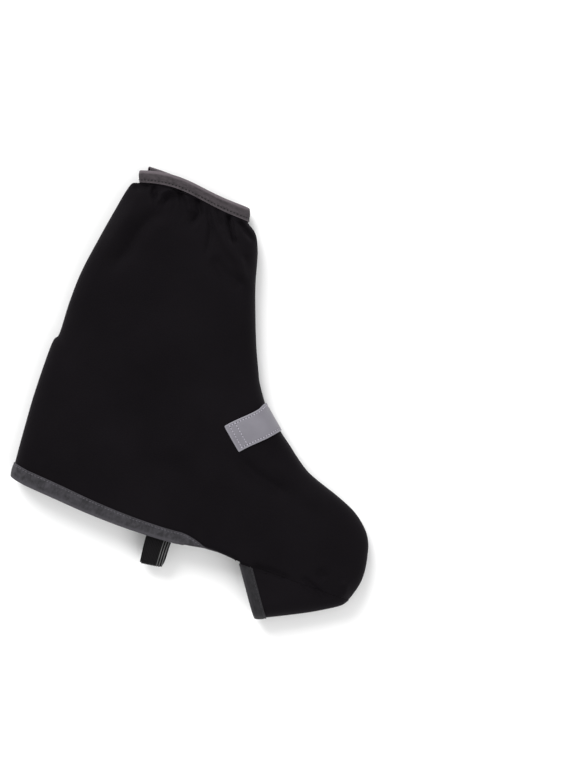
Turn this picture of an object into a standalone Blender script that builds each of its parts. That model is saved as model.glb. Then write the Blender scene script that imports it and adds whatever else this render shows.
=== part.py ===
"""Boot gaiter of the left foot, laid flat on its outer side: toe along +X, leg opening along +Y.

The gaiter is a flattened tube of softshell. An upper and a lower wall meet in a rolled fold
along the calf, the shin, the toe and the middle line of the toe sole. Everything is drawn in
plan first, in millimetres, and then lifted onto those two walls by skin().
"""
import math
from collections import namedtuple

import bpy
import bmesh
from mathutils import Vector

MM = 0.001

# ---- driving dimensions, in millimetres -----------------------------------------------------
CLOTH = 1.5             # softshell wall
TAPE = 1.0              # edge bindings, strap, patches
SEAM_GAP = 0.3          # between the two walls where they are sewn together
BAND_GAP = 0.9          # between a binding and the cloth that it clasps
FOLD_HEIGHT = 10.0      # height of the fold line above the floor
ROLL = 14.0             # how far in from the fold line a wall reaches its full height
RISE = 14.5             # top wall above the fold line, over leg and foot
RISE_TOP = 7.0          # the same at the leg opening, where the elastic draws it in
RISE_FADE = 45.0        # distance from the leg opening over which the rise grows
TOE_SINK = 2.0          # how much lower the toe lies
TOE_SINK_SPAN = (235.0, 300.0)
TOP_BAND = 10.5         # binding widths
HEM_BAND = 11.0
TOE_BAND = 9.0
SEAM_END_SHARE = 0.15   # how far short of the sole's seam the toe binding ends
BAND_LIFT = BAND_GAP + TAPE
BAND_LIFT_FADE = (14.0, 34.0)
STRAP_WIDTH = 25.0
STRAP_CLEAR = 0.6
STRAP_STEP = (17.0, 28.0)   # the strap steps off the cloth onto its patch between these runs
PATCH_START = 27.0
PATCH_END = 70.0
PATCH_WIDTH = 24.0
TAB_START = 30.0
TAB_END = 50.0
TAB_WIDTH = 21.0
STRAP_INNER_END = 39.0  # from the fold to the sewn end, on the inner side of the foot
STRAP_OUTER_END = 52.0  # from the fold to the free end, on the outer side
STRAP_FOLD = Vector((188.9, 116.8))
STRAP_ALONG = Vector((-0.652, -0.758))      # from the shin fold towards the strap's ends
LAYER_GAP = 0.5         # between the layers of the back closure
TUCK = CLOTH + 2 * LAYER_GAP + 1.4  # how far the overlap lies under the upper wall's face
OVERLAP_ROWS = 5

FOLD_ANGLES = [0.0, 22.5, 45.0, 67.5, 90.0]
MIDDLE_STRIPS = 6
UPPER = 1
LOWER = -1

Section = namedtuple("Section", "place back_x back_y front_x front_y bow skew strips spacing")

SHAFT = [
    Section("leg opening", 12.8, 270.6, 110.6, 273.6, 4.5, 2.0, 2, "even"),
    Section("below binding", 10.8, 261.2, 113.8, 263.9, 4.5, 2.0, 1, "even"),
    Section("gathers", 7.6, 252.0, 123.5, 256.0, 3.5, 1.5, 1, "even"),
    Section("collar", 5.1, 238.0, 130.4, 241.5, 2.0, 0.5, 2, "even"),
    Section("upper calf", 0.6, 211.0, 137.6, 216.5, 0.0, 0.0, 2, "even"),
    Section("calf", -4.2, 177.0, 146.0, 193.2, 0.0, 0.0, 2, "even"),
    Section("lower calf", -5.0, 149.0, 156.0, 168.0, 0.0, 0.0, 2, "even"),
    Section("above notch", -3.9, 121.0, 166.0, 146.2, 0.0, 0.0, 1, "even"),
    Section("below notch", -7.0, 111.0, 170.0, 138.5, 0.0, 0.0, 3, "even"),
    Section("ankle", -6.6, 70.0, 179.5, 125.0, 0.0, 0.0, 2, "even"),
    Section("heel", -4.6, 38.0, 186.0, 119.0, 0.0, 0.0, 2, "even"),
    Section("heel hem", -0.9, -5.0, 191.5, 114.2, 0.0, 0.0, 1, "even"),
]

FOOT = [
    Section("heel hem", -0.9, -5.0, 191.5, 114.2, 0.0, 0.0, 4, "start"),
    Section("heel tread", 13.1, -6.9, 193.0, 113.0, 0.0, 0.0, 2, "even"),
    Section("heel front", 42.0, -9.0, 195.5, 110.9, 0.0, 0.0, 2, "even"),
    Section("waist", 75.0, -11.2, 198.8, 108.2, 0.0, 0.0, 2, "even"),
    Section("arch", 110.0, -11.6, 203.5, 104.3, 0.0, 0.0, 2, "even"),
    Section("hem tuck", 147.0, -9.8, 211.5, 98.5, 0.0, 0.0, 2, "even"),
    Section("hem rise", 175.0, -5.6, 219.5, 92.3, 0.0, 0.0, 2, "even"),
    Section("hem end", 205.5, -7.2, 231.5, 84.0, 0.0, 0.0, 1, "even"),
    Section("ball", 222.0, -7.0, 243.5, 78.0, 0.0, 0.0, 2, "even"),
    Section("vamp", 248.0, -7.0, 264.5, 69.8, 0.0, 0.0, 2, "even"),
    Section("toe box", 273.0, -6.8, 281.0, 61.6, -2.0, 0.0, 1, "even"),
    Section("toe rise", 286.8, -6.8, 292.0, 53.2, -4.0, 0.0, 4, "end"),
    Section("toe end", 300.8, -6.3, 303.8, 30.0, -3.0, 0.0, 0, "even"),
]

SoleSection = namedtuple("SoleSection", "place crease_x fold_x fold_y strips")

SOLE = [
    SoleSection("rear edge", 205.6, 233.8, -46.3, 1),
    SoleSection("rear binding", 215.6, 241.5, -43.1, 1),
    SoleSection("ball", 232.0, 255.0, -36.9, 2),
    SoleSection("middle", 256.0, 274.5, -26.5, 2),
    SoleSection("toe bend", 280.0, 289.5, -17.3, 2),
    SoleSection("toe end", 299.2, 299.9, -8.0, 0),
]

Crease = namedtuple("Crease", "place start_x start_y end_x end_y width depth")

CREASES = [
    Crease("behind the leg opening", 40.0, 247.0, 15.0, 200.0, 10.0, 2.0),
    Crease("beside the shin", 98.0, 254.0, 118.0, 208.0, 10.0, 1.8),
    Crease("over the ankle", 108.0, 52.0, 152.0, 45.0, 11.0, 1.2),
    Crease("toe sole seam", 214.0, -7.0, 297.0, -7.0, 7.0, 1.8),
]

Finish = namedtuple("Finish", "colour roughness")

FINISHES = {
    "softshell": Finish((0.009, 0.008, 0.010), 0.75),
    "binding": Finish((0.075, 0.065, 0.072), 0.80),
    "reflective": Finish((0.270, 0.260, 0.295), 0.45),
    "hook_loop": Finish((0.006, 0.006, 0.006), 0.95),
    "elastic": Finish((0.011, 0.011, 0.011), 0.85),
}


# ---- plan: smooth rows between the sections --------------------------------------------------
def spline(before, start, end, after, t):
    """Catmull-Rom value between start and end."""
    slope_in = (end - before) / 2
    slope_out = (after - start) / 2
    t2 = t * t
    t3 = t2 * t
    return ((2 * t3 - 3 * t2 + 1) * start + (t3 - 2 * t2 + t) * slope_in
            + (3 * t2 - 2 * t3) * end + (t3 - t2) * slope_out)


def steps(strips, spacing):
    """Fractions along one interval; start and end crowd towards a fold line as its roll does."""
    quarter = [math.radians(90 * k / strips) for k in range(strips)]
    if spacing == "start":
        return [1 - math.cos(a) for a in quarter]
    if spacing == "end":
        return [math.sin(a) for a in quarter]
    return [k / strips for k in range(strips)]


def smooth_rows(rows, strips, spacings):
    """Every column of a table, splined, with the given number of strips in each interval."""
    smooth = []
    for k in range(len(rows) - 1):
        start, end = rows[k], rows[k + 1]
        before = rows[k - 1] if k > 0 else [2 * a - b for a, b in zip(start, end)]
        after = rows[k + 2] if k + 2 < len(rows) else [2 * b - a for a, b in zip(start, end)]
        for t in steps(strips[k], spacings[k]):
            smooth.append([spline(*column, t) for column in zip(before, start, end, after)])
    smooth.append(list(rows[-1]))
    return smooth


def smooth_sections(table):
    numbers = [[s.back_x, s.back_y, s.front_x, s.front_y, s.bow, s.skew] for s in table]
    return smooth_rows(numbers, [s.strips for s in table], [s.spacing for s in table])


def across(back, front, bow, skew, distance):
    """Plan point on a section line, `distance` from its back end."""
    length = (front - back).length
    t = distance / length
    along = (front - back) / length
    side = Vector((-along.y, along.x))
    bend = bow * math.sin(math.pi * t) + skew * math.sin(2 * math.pi * t)
    return back + along * distance + side * bend


def section_points(row, back_normal):
    """The plan points of one section line, crowded towards both of its ends."""
    back, front = Vector(row[0:2]), Vector(row[2:4])
    length = (front - back).length
    along = (front - back) / length
    slant = max(along.dot(back_normal), 0.5)
    rolls = [ROLL * (1 - math.cos(math.radians(angle))) for angle in FOLD_ANGLES]
    first = [r / slant for r in rolls]
    last = [length - r for r in reversed(rolls)]
    gap = (last[0] - first[-1]) / MIDDLE_STRIPS
    middle = [first[-1] + gap * k for k in range(1, MIDDLE_STRIPS)]
    return [across(back, front, row[4], row[5], d) for d in first + middle + last]


def normals(line, turn):
    """Inward plan normals at the points of a polyline; turn is +1 or -1."""
    result = []
    for k in range(len(line)):
        ahead = line[min(k + 1, len(line) - 1)] - line[max(k - 1, 0)]
        result.append((Vector((-ahead.y, ahead.x)) * turn).normalized())
    return result


shaft = smooth_sections(SHAFT)
foot = smooth_sections(FOOT)
back_line = [Vector(row[0:2]) for row in shaft]
hem_line = [Vector(row[0:2]) for row in foot]
back_normals = normals(back_line, 1)
hem_normals = normals(hem_line, 1)
shaft_plan = [section_points(row, n) for row, n in zip(shaft, back_normals)]
foot_plan = [section_points(row, n) for row, n in zip(foot, hem_normals)]
foot_plan[0] = shaft_plan[-1]
side_plan = shaft_plan + foot_plan[1:]
SHAFT_LAST = len(shaft_plan) - 1
NOTCH = sum(s.strips for s in SHAFT[:7])            # section just above the notch
TOP_BAND_LAST = SHAFT[0].strips                     # section at the binding's lower edge
COLLAR = TOP_BAND_LAST + 1                          # first section of the overlap
COLUMNS = len(side_plan[0])

sole_rows = smooth_rows([[s.crease_x, s.fold_x, s.fold_y] for s in SOLE],
                        [s.strips for s in SOLE], ["even"] * len(SOLE))


def crease_height(x):
    """Plan height of the seam between the side panels and the toe sole."""
    for low, high in zip(hem_line, hem_line[1:]):
        if low.x <= x <= high.x:
            return low.y + (high.y - low.y) * (x - low.x) / (high.x - low.x)
    return hem_line[-1].y


def sole_points(row):
    """Plan points of one line across half the toe sole, from its seam to its fold."""
    seam = Vector((row[0], crease_height(row[0]) - SEAM_GAP - 0.1))
    fold = Vector((row[1], row[2]))
    length = (fold - seam).length
    roll = min(ROLL, 0.6 * length)
    near_fold = [length - roll * (1 - math.cos(math.radians(a))) for a in reversed(FOLD_ANGLES)]
    distances = [0.0, near_fold[0] / 2] + near_fold
    return [seam + (fold - seam) * (d / length) for d in distances]


sole_plan = [sole_points(row) for row in sole_rows]
front_line = ([points[-1] for points in side_plan]
              + list(reversed(side_plan[-1][:-1]))
              + [points[-1] for points in reversed(sole_plan)])
FOLD_LINES = [(back_line, back_normals), (front_line, normals(front_line, -1))]
top_line = shaft_plan[0]
hem_edge = [p for p in hem_line if p.x <= FOOT[7].back_x + 0.1]
sole_edge = sole_plan[0]


# ---- from plan to the two walls --------------------------------------------------------------
def smooth_step(low, high, value):
    t = min(max((value - low) / (high - low), 0.0), 1.0)
    return t * t * (3 - 2 * t)


def nearest_on(line, point):
    """Distance to a polyline, with the segment and the fraction along it."""
    best = (1e9, 0, 0.0)
    for k in range(len(line) - 1):
        run = line[k + 1] - line[k]
        t = min(max((point - line[k]).dot(run) / max(run.length_squared, 1e-9), 0.0), 1.0)
        distance = (point - line[k] - run * t).length
        if distance < best[0]:
            best = (distance, k, t)
    return best


def nearest_fold(point):
    """Distance from the nearest fold line, and the plan direction that leads away from it."""
    found = []
    for line, inward in FOLD_LINES:
        distance, k, t = nearest_on(line, point)
        found.append((distance, (inward[k] * (1 - t) + inward[k + 1] * t).normalized()))
    return min(found, key=lambda item: item[0])


def rise(point):
    """Height of the upper wall above the fold line."""
    opening = nearest_on(top_line, point)[0]
    height = RISE_TOP + (RISE - RISE_TOP) * smooth_step(0, RISE_FADE, opening)
    height -= TOE_SINK * smooth_step(*TOE_SINK_SPAN, point.x)
    for crease in CREASES:
        ends = [Vector((crease.start_x, crease.start_y)), Vector((crease.end_x, crease.end_y))]
        distance = nearest_on(ends, point)[0]
        height -= crease.depth * math.exp(-(distance / crease.width) ** 2)
    return height


def strap_frame(point):
    """Run from the shin fold and offset across the strap, of a plan point."""
    away = point - STRAP_FOLD
    return away.dot(STRAP_ALONG), away.dot(Vector((-STRAP_ALONG.y, STRAP_ALONG.x)))


STRAP_LIFT = STRAP_CLEAR + TAPE * 3 + SEAM_GAP * 2


def lift(point):
    """How far the lower wall is held off the floor by the bindings and the strap under it."""
    bound = min(nearest_on(line, point)[0] for line in (top_line, hem_edge, sole_edge))
    by_band = BAND_LIFT * (1 - smooth_step(*BAND_LIFT_FADE, bound))
    run, offset = strap_frame(point)
    beyond = math.hypot(max(run - PATCH_END - 15, 0), max(abs(offset) - STRAP_WIDTH, 0))
    return max(by_band, STRAP_LIFT * (1 - smooth_step(0, 30, beyond)))


def skin(point, side, depth=0.0, fold=None):
    """Point `depth` under the outer face of the upper or lower wall, above a plan point."""
    distance, inward = fold or nearest_fold(point)
    lean = 1 - min(distance / ROLL, 1.0)
    climb = math.sqrt(max(1 - lean * lean, 0.0))
    height = rise(point) if side == UPPER else FOLD_HEIGHT - SEAM_GAP / 2 - lift(point)
    normal = Vector((-inward.x * lean / ROLL, -inward.y * lean / ROLL, side * climb / height))
    level = FOLD_HEIGHT + side * (SEAM_GAP / 2 + height * climb)
    return Vector((point.x, point.y, level)) - normal.normalized() * depth


def tuck_at(section, column, fold):
    """How much deeper the lower wall lies along the back slit, to slip under the upper one."""
    if section > NOTCH or column >= len(FOLD_ANGLES):
        return 0.0
    return TUCK * (1 - min(fold[0] / ROLL, 1.0))


# ---- solids ----------------------------------------------------------------------------------
made = []


def wall(name, finish, outer, inner, cells):
    """A closed solid between an outer and an inner face, which share their cells of keys.

    Each four-sided cell is split from its first to its third corner on both faces, so that
    layers laid over the same plan points stay parallel.
    """
    mesh = bmesh.new()
    above = {key: mesh.verts.new(point * MM) for key, point in outer.items()}
    below = {key: mesh.verts.new(point * MM) for key, point in inner.items()}
    edges = {}
    for a, b, c, d in cells:
        for corners in ((a, b, c), (a, c, d)):
            mesh.faces.new([above[key] for key in corners])
            mesh.faces.new([below[key] for key in reversed(corners)])
        edges.update({(a, b): True, (b, c): True, (c, d): True, (d, a): True})
    for a, b in edges:
        if (b, a) not in edges:
            mesh.faces.new([above[b], above[a], below[a], below[b]])
    bmesh.ops.recalc_face_normals(mesh, faces=mesh.faces)
    data = bpy.data.meshes.new(name)
    mesh.to_mesh(data)
    mesh.free()
    data.shade_smooth()
    data.set_sharp_from_angle(angle=math.radians(50))
    data.materials.append(material(finish))
    thing = bpy.data.objects.new(name, data)
    bpy.context.scene.collection.objects.link(thing)
    made.append(thing)


def grid_cells(rows, columns, first_row=0, first_column=0):
    return [((i, j), (i + 1, j), (i + 1, j + 1), (i, j + 1))
            for i in range(first_row, rows - 1) for j in range(first_column, columns - 1)]


def sheet(name, finish, outer_rows, inner_rows):
    """A wall over one plain grid."""
    outer = {(i, j): p for i, row in enumerate(outer_rows) for j, p in enumerate(row)}
    inner = {(i, j): p for i, row in enumerate(inner_rows) for j, p in enumerate(row)}
    wall(name, finish, outer, inner, grid_cells(len(outer_rows), len(outer_rows[0])))


def material(finish):
    found = bpy.data.materials.get(finish)
    if found:
        return found
    new = bpy.data.materials.new(finish)
    new.use_nodes = True
    shader = new.node_tree.nodes["Principled BSDF"]
    shader.inputs["Base Color"].default_value = (*FINISHES[finish].colour, 1.0)
    shader.inputs["Roughness"].default_value = FINISHES[finish].roughness
    shader.inputs["Metallic"].default_value = 0.0
    return new


def medial_panel():
    """Inner side of the foot and leg: the wall that lies uppermost."""
    outer = [[skin(p, UPPER) for p in row] for row in side_plan]
    inner = [[skin(p, UPPER, CLOTH) for p in row] for row in side_plan]
    sheet("medial_panel", "softshell", outer, inner)


def lateral_panel():
    """Outer side: lies on the floor, and above the notch laps on under the upper wall."""
    outer, inner = {}, {}
    for i, row in enumerate(side_plan):
        for j, p in enumerate(row):
            fold = nearest_fold(p)
            depth = tuck_at(i, j, fold)
            outer[(i, j)] = skin(p, LOWER, depth, fold)
            inner[(i, j)] = skin(p, LOWER, depth + CLOTH, fold)
    cells = grid_cells(len(side_plan), COLUMNS)
    for i in range(COLLAR, NOTCH + 1):
        for j in range(1, OVERLAP_ROWS + 1):
            outer[(i, -j)] = skin(side_plan[i][j], UPPER, TUCK)
            inner[(i, -j)] = skin(side_plan[i][j], UPPER, TUCK + CLOTH)
    for i in range(COLLAR, NOTCH):
        for j in range(-OVERLAP_ROWS, 0):
            cells.append(((i + 1, j), (i + 1, j + 1), (i, j + 1), (i, j)))
    wall("lateral_panel", "softshell", outer, inner, cells)


def back_closure_tape():
    """Plain hook-and-loop tape between the upper wall and the overlap."""
    def strip(row, depth):
        return [skin(row[j], UPPER, depth) for j in range(2, OVERLAP_ROWS + 1)]

    rows = side_plan[COLLAR + 1:NOTCH]
    outer = [strip(row, CLOTH + LAYER_GAP) for row in rows]
    inner = [strip(row, TUCK - LAYER_GAP) for row in rows]
    sheet("back_closure_tape", "hook_loop", outer, inner)


def toe_sole_panel():
    """Half sole under the toes, folded on its middle line: upper half, fold, lower half."""
    def folded(depth):
        rows = []
        for row in sole_plan:
            upper = [skin(p, UPPER, depth) for p in row[:-1]]
            lower = [skin(p, LOWER, depth) for p in reversed(row[:-1])]
            middle = (skin(row[-1], UPPER, depth) + skin(row[-1], LOWER, depth)) / 2
            rows.append(upper + [middle] + lower)
        return rows
    sheet("toe_sole_panel", "softshell", folded(0.0), folded(CLOTH))


# ---- edge bindings ---------------------------------------------------------------------------
def binding(name, stations, width):
    """A tape folded over an edge. A station is (place, cover): place(run, depth) gives the
    point `run` in from the edge, and cover is the width of the tape's outer leg."""
    def beyond(place, run, depth):
        edge = place(0.0, depth)
        return edge + (place(0.0, CLOTH / 2) - place(2.0, CLOTH / 2)).normalized() * run

    outer, inner = [], []
    reach = BAND_GAP + TAPE
    for place, cover in stations:
        outer.append([place(cover, -reach), place(cover / 2, -reach), place(0.0, -reach),
                      beyond(place, reach, -BAND_GAP), beyond(place, reach, CLOTH + BAND_GAP),
                      place(0.0, CLOTH + reach), place(width / 2, CLOTH + reach),
                      place(width, CLOTH + reach)])
        inner.append([place(cover, -BAND_GAP), place(cover / 2, -BAND_GAP),
                      place(0.0, -BAND_GAP), beyond(place, BAND_GAP, -BAND_GAP / 2),
                      beyond(place, BAND_GAP, CLOTH + BAND_GAP / 2),
                      place(0.0, CLOTH + BAND_GAP), place(width / 2, CLOTH + BAND_GAP),
                      place(width, CLOTH + BAND_GAP)])
    sheet(name, "binding", outer, inner)


def between(start, end, side, width, fold=None, tuck=0.0):
    """Station whose run goes from one plan point towards another."""
    def place(run, depth):
        return skin(start + (end - start) * (run / width), side, depth + tuck, fold)
    return place


def part_way(first, second, share):
    """Station on the straight cloth between two others."""
    return lambda run, depth: first(run, depth).lerp(second(run, depth), share)


def top_binding():
    """Elastic binding round the leg opening, from one side of the back slit to the other."""
    low, high = shaft_plan[0], shaft_plan[TOP_BAND_LAST]
    fold_normal = normals(front_line, -1)[0]
    stations = []
    for side, order in ((UPPER, range(1, COLUMNS)), (LOWER, range(COLUMNS - 2, 0, -1))):
        for j in order:
            from_front = COLUMNS - 1 - j
            fold = None
            if from_front < len(FOLD_ANGLES):
                angle = math.radians(FOLD_ANGLES[from_front])
                fold = (ROLL * (1 - math.cos(angle)), fold_normal)
            tuck = tuck_at(0, j, nearest_fold(low[j])) if side == LOWER else 0.0
            place = between(low[j], high[j], side, TOP_BAND, fold, tuck)
            stations.append((place, TOP_BAND))
    binding("top_binding", stations, TOP_BAND)


def cover_at(x):
    """Outer leg of the hem binding: full at the heel, tucked from sight towards the arch."""
    return HEM_BAND - (HEM_BAND - 3.0) * smooth_step(134.0, 176.0, x)


def hem_binding():
    """Binding of the lower edge, from the arch round the heel to the arch."""
    corner = back_line[-1]
    heel_up = (back_line[-2] - corner).normalized()
    heel_in = back_normals[-1]
    along_hem = (hem_line[4] - corner).normalized()
    stations = []
    for side in (UPPER, LOWER):
        flat = []
        for p, inward in zip(hem_line[4:], hem_normals[4:]):
            if p.x > FOOT[7].back_x - 1:
                break
            flat.append((lambda run, depth, p=p, n=inward, s=side: skin(p + n * run, s, depth),
                         cover_at(p.x)))
        end = hem_line[sum(s.strips for s in FOOT[:7])] - Vector((3.5, 0.0))
        flat.append((lambda run, depth, s=side: skin(end + Vector((0, run)), s, depth), 3.0))
        ring = []
        for angle in reversed(FOLD_ANGLES[:-1]):
            distance = ROLL * (1 - math.cos(math.radians(angle)))
            p = corner + along_hem * distance
            fold = (distance, heel_in)
            ring.append((lambda run, depth, p=p, f=fold, s=side:
                         skin(p + heel_up * run, s, depth, f), HEM_BAND))
        if side == UPPER:
            stations += list(reversed(flat)) + ring
        else:
            stations += list(reversed(ring[:-1])) + flat
    binding("hem_binding", stations, HEM_BAND)


def toe_hem_binding():
    """Binding across the rear edge of the toe sole, folded with it."""
    low, high = sole_plan[0], sole_plan[1]
    last = len(low) - 1
    width = (high[0] - low[0]).length
    fold_inward = FOLD_LINES[1][1][-1]

    def station(j, side):
        fold = None
        if last - j < len(FOLD_ANGLES):
            angle = math.radians(FOLD_ANGLES[last - j])
            fold = (ROLL * (1 - math.cos(angle)), fold_inward)
        return between(low[j], high[j], side, width, fold)

    half = {}
    for side in (UPPER, LOWER):
        seam_end = part_way(station(0, side), station(1, side), SEAM_END_SHARE)
        half[side] = [seam_end] + [station(j, side) for j in range(1, last + 1)]
    places = half[UPPER] + list(reversed(half[LOWER][:-1]))
    binding("toe_hem_binding", [(place, TOE_BAND) for place in places], TOE_BAND)


# ---- instep strap ----------------------------------------------------------------------------
def shin_fold(offset):
    """Point of the shin fold line at an offset across the strap."""
    for low, high in zip(front_line, front_line[1:]):
        a, b = strap_frame(low)[1], strap_frame(high)[1]
        if (a - offset) * (b - offset) <= 0 and abs(strap_frame(low)[0]) < 60:
            return low.lerp(high, (offset - a) / (b - a))
    raise ValueError("the strap leaves the shin fold")


def strap_piece(name, finish, stations, width, thickness, columns=5):
    """A flat ribbon square to the shin fold. A station is (run, side, clearance)."""
    offsets = [width * (k / (columns - 1) - 0.5) for k in range(columns)]
    outer, inner = [], []
    for run, side, clear in stations:
        points = [shin_fold(offset) + STRAP_ALONG * run for offset in offsets]
        fold = (run, STRAP_ALONG)
        outer.append([skin(p, side, -clear - thickness, fold) for p in points])
        inner.append([skin(p, side, -clear, fold) for p in points])
    sheet(name, finish, outer, inner)


def instep_strap():
    rolls = [ROLL * (1 - math.cos(math.radians(a))) for a in FOLD_ANGLES]
    full = STRAP_LIFT - TAPE
    inner_runs = [STRAP_INNER_END, 33.0, 26.0, 20.0] + list(reversed(rolls))
    outer_runs = rolls[1:] + [STRAP_STEP[0], 20.0, 23.0, STRAP_STEP[1], 40.0, STRAP_OUTER_END]
    stations = [(run, UPPER, STRAP_CLEAR) for run in inner_runs]
    for run in outer_runs:
        clear = STRAP_CLEAR + (full - STRAP_CLEAR) * smooth_step(*STRAP_STEP, run)
        stations.append((run, LOWER, clear))
    strap_piece("instep_strap", "reflective", stations, STRAP_WIDTH, TAPE)


def strap_fastening():
    """The loop patch sewn to the outer side, and the hook tab under the strap's end."""
    patch = [(PATCH_START, LOWER, STRAP_CLEAR), (48.0, LOWER, STRAP_CLEAR),
             (PATCH_END, LOWER, STRAP_CLEAR)]
    strap_piece("strap_loop_patch", "hook_loop", patch, PATCH_WIDTH, TAPE, columns=3)
    above_patch = STRAP_CLEAR + TAPE + SEAM_GAP
    tab = [(TAB_START, LOWER, above_patch), (TAB_END, LOWER, above_patch)]
    strap_piece("strap_hook_tab", "hook_loop", tab, TAB_WIDTH, TAPE, columns=3)


# ---- under-sole loop -------------------------------------------------------------------------
def sole_loop():
    """Flat elastic hung inside the hem: down from the upper wall, round, and back to the lower."""
    width, thickness = 20.0, 1.4
    Turn = namedtuple("Turn", "y z x")
    route = [
        Turn(4.0, 19.6, 133.6),
        Turn(-7.0, 19.6, 133.8),
        Turn(-17.0, 19.0, 134.2),
        Turn(-27.0, 17.4, 134.8),
        Turn(-33.0, 14.6, 135.4),
        Turn(-35.4, 11.6, 136.0),
        Turn(-34.4, 8.6, 136.6),
        Turn(-30.0, 6.6, 137.2),
        Turn(-20.0, 6.4, 137.8),
        Turn(-7.0, 6.7, 138.2),
        Turn(4.0, 7.0, 138.4),
    ]
    columns = smooth_rows(route, [2] * len(route), ["even"] * len(route))
    outer, inner = [], []
    for k, (y, z, x) in enumerate(columns):
        ahead, behind = columns[min(k + 1, len(columns) - 1)], columns[max(k - 1, 0)]
        run = Vector((0, ahead[0] - behind[0], ahead[1] - behind[1])).normalized()
        out = Vector((0, run.z, -run.y))
        corners = [Vector((x + width * side, y, z)) for side in (-0.5, 0.0, 0.5)]
        outer.append([c + out * thickness / 2 for c in corners])
        inner.append([c - out * thickness / 2 for c in corners])
    sheet("sole_loop", "elastic", outer, inner)


def settle():
    """Move everything so that the origin is under the middle of the gaiter, on the floor."""
    corners = [v.co for thing in made for v in thing.data.vertices]
    low = Vector([min(c[k] for c in corners) for k in range(3)])
    high = Vector([max(c[k] for c in corners) for k in range(3)])
    base = Vector(((low.x + high.x) / 2, (low.y + high.y) / 2, low.z))
    for thing in made:
        for vertex in thing.data.vertices:
            vertex.co -= base
    print("base", base, "size", high - low)


for old in list(bpy.data.objects):
    bpy.data.objects.remove(old, do_unlink=True)
medial_panel()
lateral_panel()
toe_sole_panel()
back_closure_tape()
top_binding()
hem_binding()
toe_hem_binding()
instep_strap()
strap_fastening()
sole_loop()
settle()
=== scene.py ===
"""Boot gaiter lying on its outer side, cut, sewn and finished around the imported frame.

Everything is drawn in plan first, in millimetres, in the pattern's own frame: heel corner near
the origin, toe along +X, leg opening along +Y. skin() lifts plan points onto the upper or the
lower wall with all of its folds, and every panel, tape, strap and stitch is laid on that skin.
"""
import math
from collections import namedtuple

import bmesh
import bpy
import numpy as np
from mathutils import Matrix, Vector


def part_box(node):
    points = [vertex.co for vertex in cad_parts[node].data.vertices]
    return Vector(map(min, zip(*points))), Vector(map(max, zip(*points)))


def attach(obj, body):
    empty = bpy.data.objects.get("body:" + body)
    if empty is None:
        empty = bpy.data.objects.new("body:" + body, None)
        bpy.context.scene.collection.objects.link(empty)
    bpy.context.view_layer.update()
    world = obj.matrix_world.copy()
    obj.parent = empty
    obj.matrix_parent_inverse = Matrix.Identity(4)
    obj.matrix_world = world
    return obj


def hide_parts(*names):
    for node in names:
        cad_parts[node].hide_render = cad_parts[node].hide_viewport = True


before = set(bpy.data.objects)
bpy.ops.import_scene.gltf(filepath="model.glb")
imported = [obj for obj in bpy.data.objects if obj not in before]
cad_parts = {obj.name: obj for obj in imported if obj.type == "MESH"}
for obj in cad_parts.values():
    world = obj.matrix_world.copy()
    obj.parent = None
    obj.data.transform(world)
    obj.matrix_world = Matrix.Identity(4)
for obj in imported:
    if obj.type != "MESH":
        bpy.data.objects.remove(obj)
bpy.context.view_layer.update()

MM = 0.001

# ---- the pattern's driving dimensions, in millimetres ----------------------------------------
CLOTH = 1.5             # softshell wall
SEAM_SLIT = 0.12        # what shows between two pieces that are sewn together
SEAM_ROUND = 0.5        # radius with which the cloth turns into a seam
FOLD_HEIGHT = 10.0      # height of the fold line above the floor
ROLL = 14.0             # how far in from the fold line a wall reaches its full height
SHORT_ROLL = 0.6        # share of a short line that the roll may take up
RISE = 14.5             # upper wall above the fold line
RISE_TOP = 7.0          # the same at the leg opening, where the elastic draws it in
RISE_FADE = 45.0
TOE_SINK = 2.0
TOE_SINK_SPAN = (235.0, 300.0)
BAND_TAPE = 0.85        # thickness of a binding's tape
BAND_GAP = 0.15         # between the tape and the cloth that it clasps
TOP_BAND = 10.5
HEM_BAND = 11.0
TOE_BAND = 10.4
BAND_LIFT = 1.9         # how far the bindings hold the lower wall off the floor
BAND_LIFT_FADE = (14.0, 34.0)
UPPER = 1
LOWER = -1
STRAP_TAPE = 1.0
STRAP_WIDTH = 25.0
STRAP_CLEAR = 0.3
STRAP_LAYERS = 4.2      # floor to cloth under the strap, its tab and its patch
STRAP_STEP = (17.0, 28.0)
STRAP_INNER_END = 39.0  # from the fold to the sewn end, on the inner side of the foot
STRAP_OUTER_END = 52.0
STRAP_FOLD = np.array((188.9, 116.8))
STRAP_ALONG = np.array((-0.652, -0.758))    # from the shin fold towards the strap's ends
STRAP_BEND = 1.8        # how far the strap sways towards the toe near the shin fold
STRAP_BEND_FROM = 8.0
STRAP_BEND_TO = {UPPER: 36.0, LOWER: 22.0}
STRAP_OFF_FLOOR = 0.2
STRAP_STITCH_IN = 2.2
STRAP_PITCH = 2.5       # of its stitches
STRAP_LIFT_PAST = 15.0  # how far past the patch the strap still lifts the cloth
STRAP_LIFT_FADE = 30.0
SHIN_REACH = 45.0
PATCH_RUN = (27.0, 70.0)
PATCH_WIDTH = 24.0
TAB_RUN = (30.0, 50.0)
TAB_WIDTH = 21.0
TAB_GAP = 0.4
PATCH_STITCH_IN = 1.8
LAYER_GAP = 0.5         # between the layers of the back closure
TUCK = CLOTH + 2 * LAYER_GAP + 1.4
CLOSURE_MARGIN = 6      # rows that the closure tape stays clear of the slit's ends
CLOSURE_COLUMN = 12     # grid column of the closure tape's outer edge
LOOP_WIDTH = 20.0
LOOP_THICK = 1.4
LOOP_CORNER = 2.6       # the loop's lower corners are rounded by this much
LOOP_CORNER_FROM = (22.0, 33.0)
LOOP_FLAT = 0.36        # share of the width, from the middle, that stays straight
LOOP_EDGE_FROM = 0.46   # its edges get thin over the last shares of the width, and get a painted highlight
LOOP_EDGE = 0.04
LOOP_HIGHLIGHT_FROM = 0.4
LOOP_HIGHLIGHT = 0.1
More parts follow.
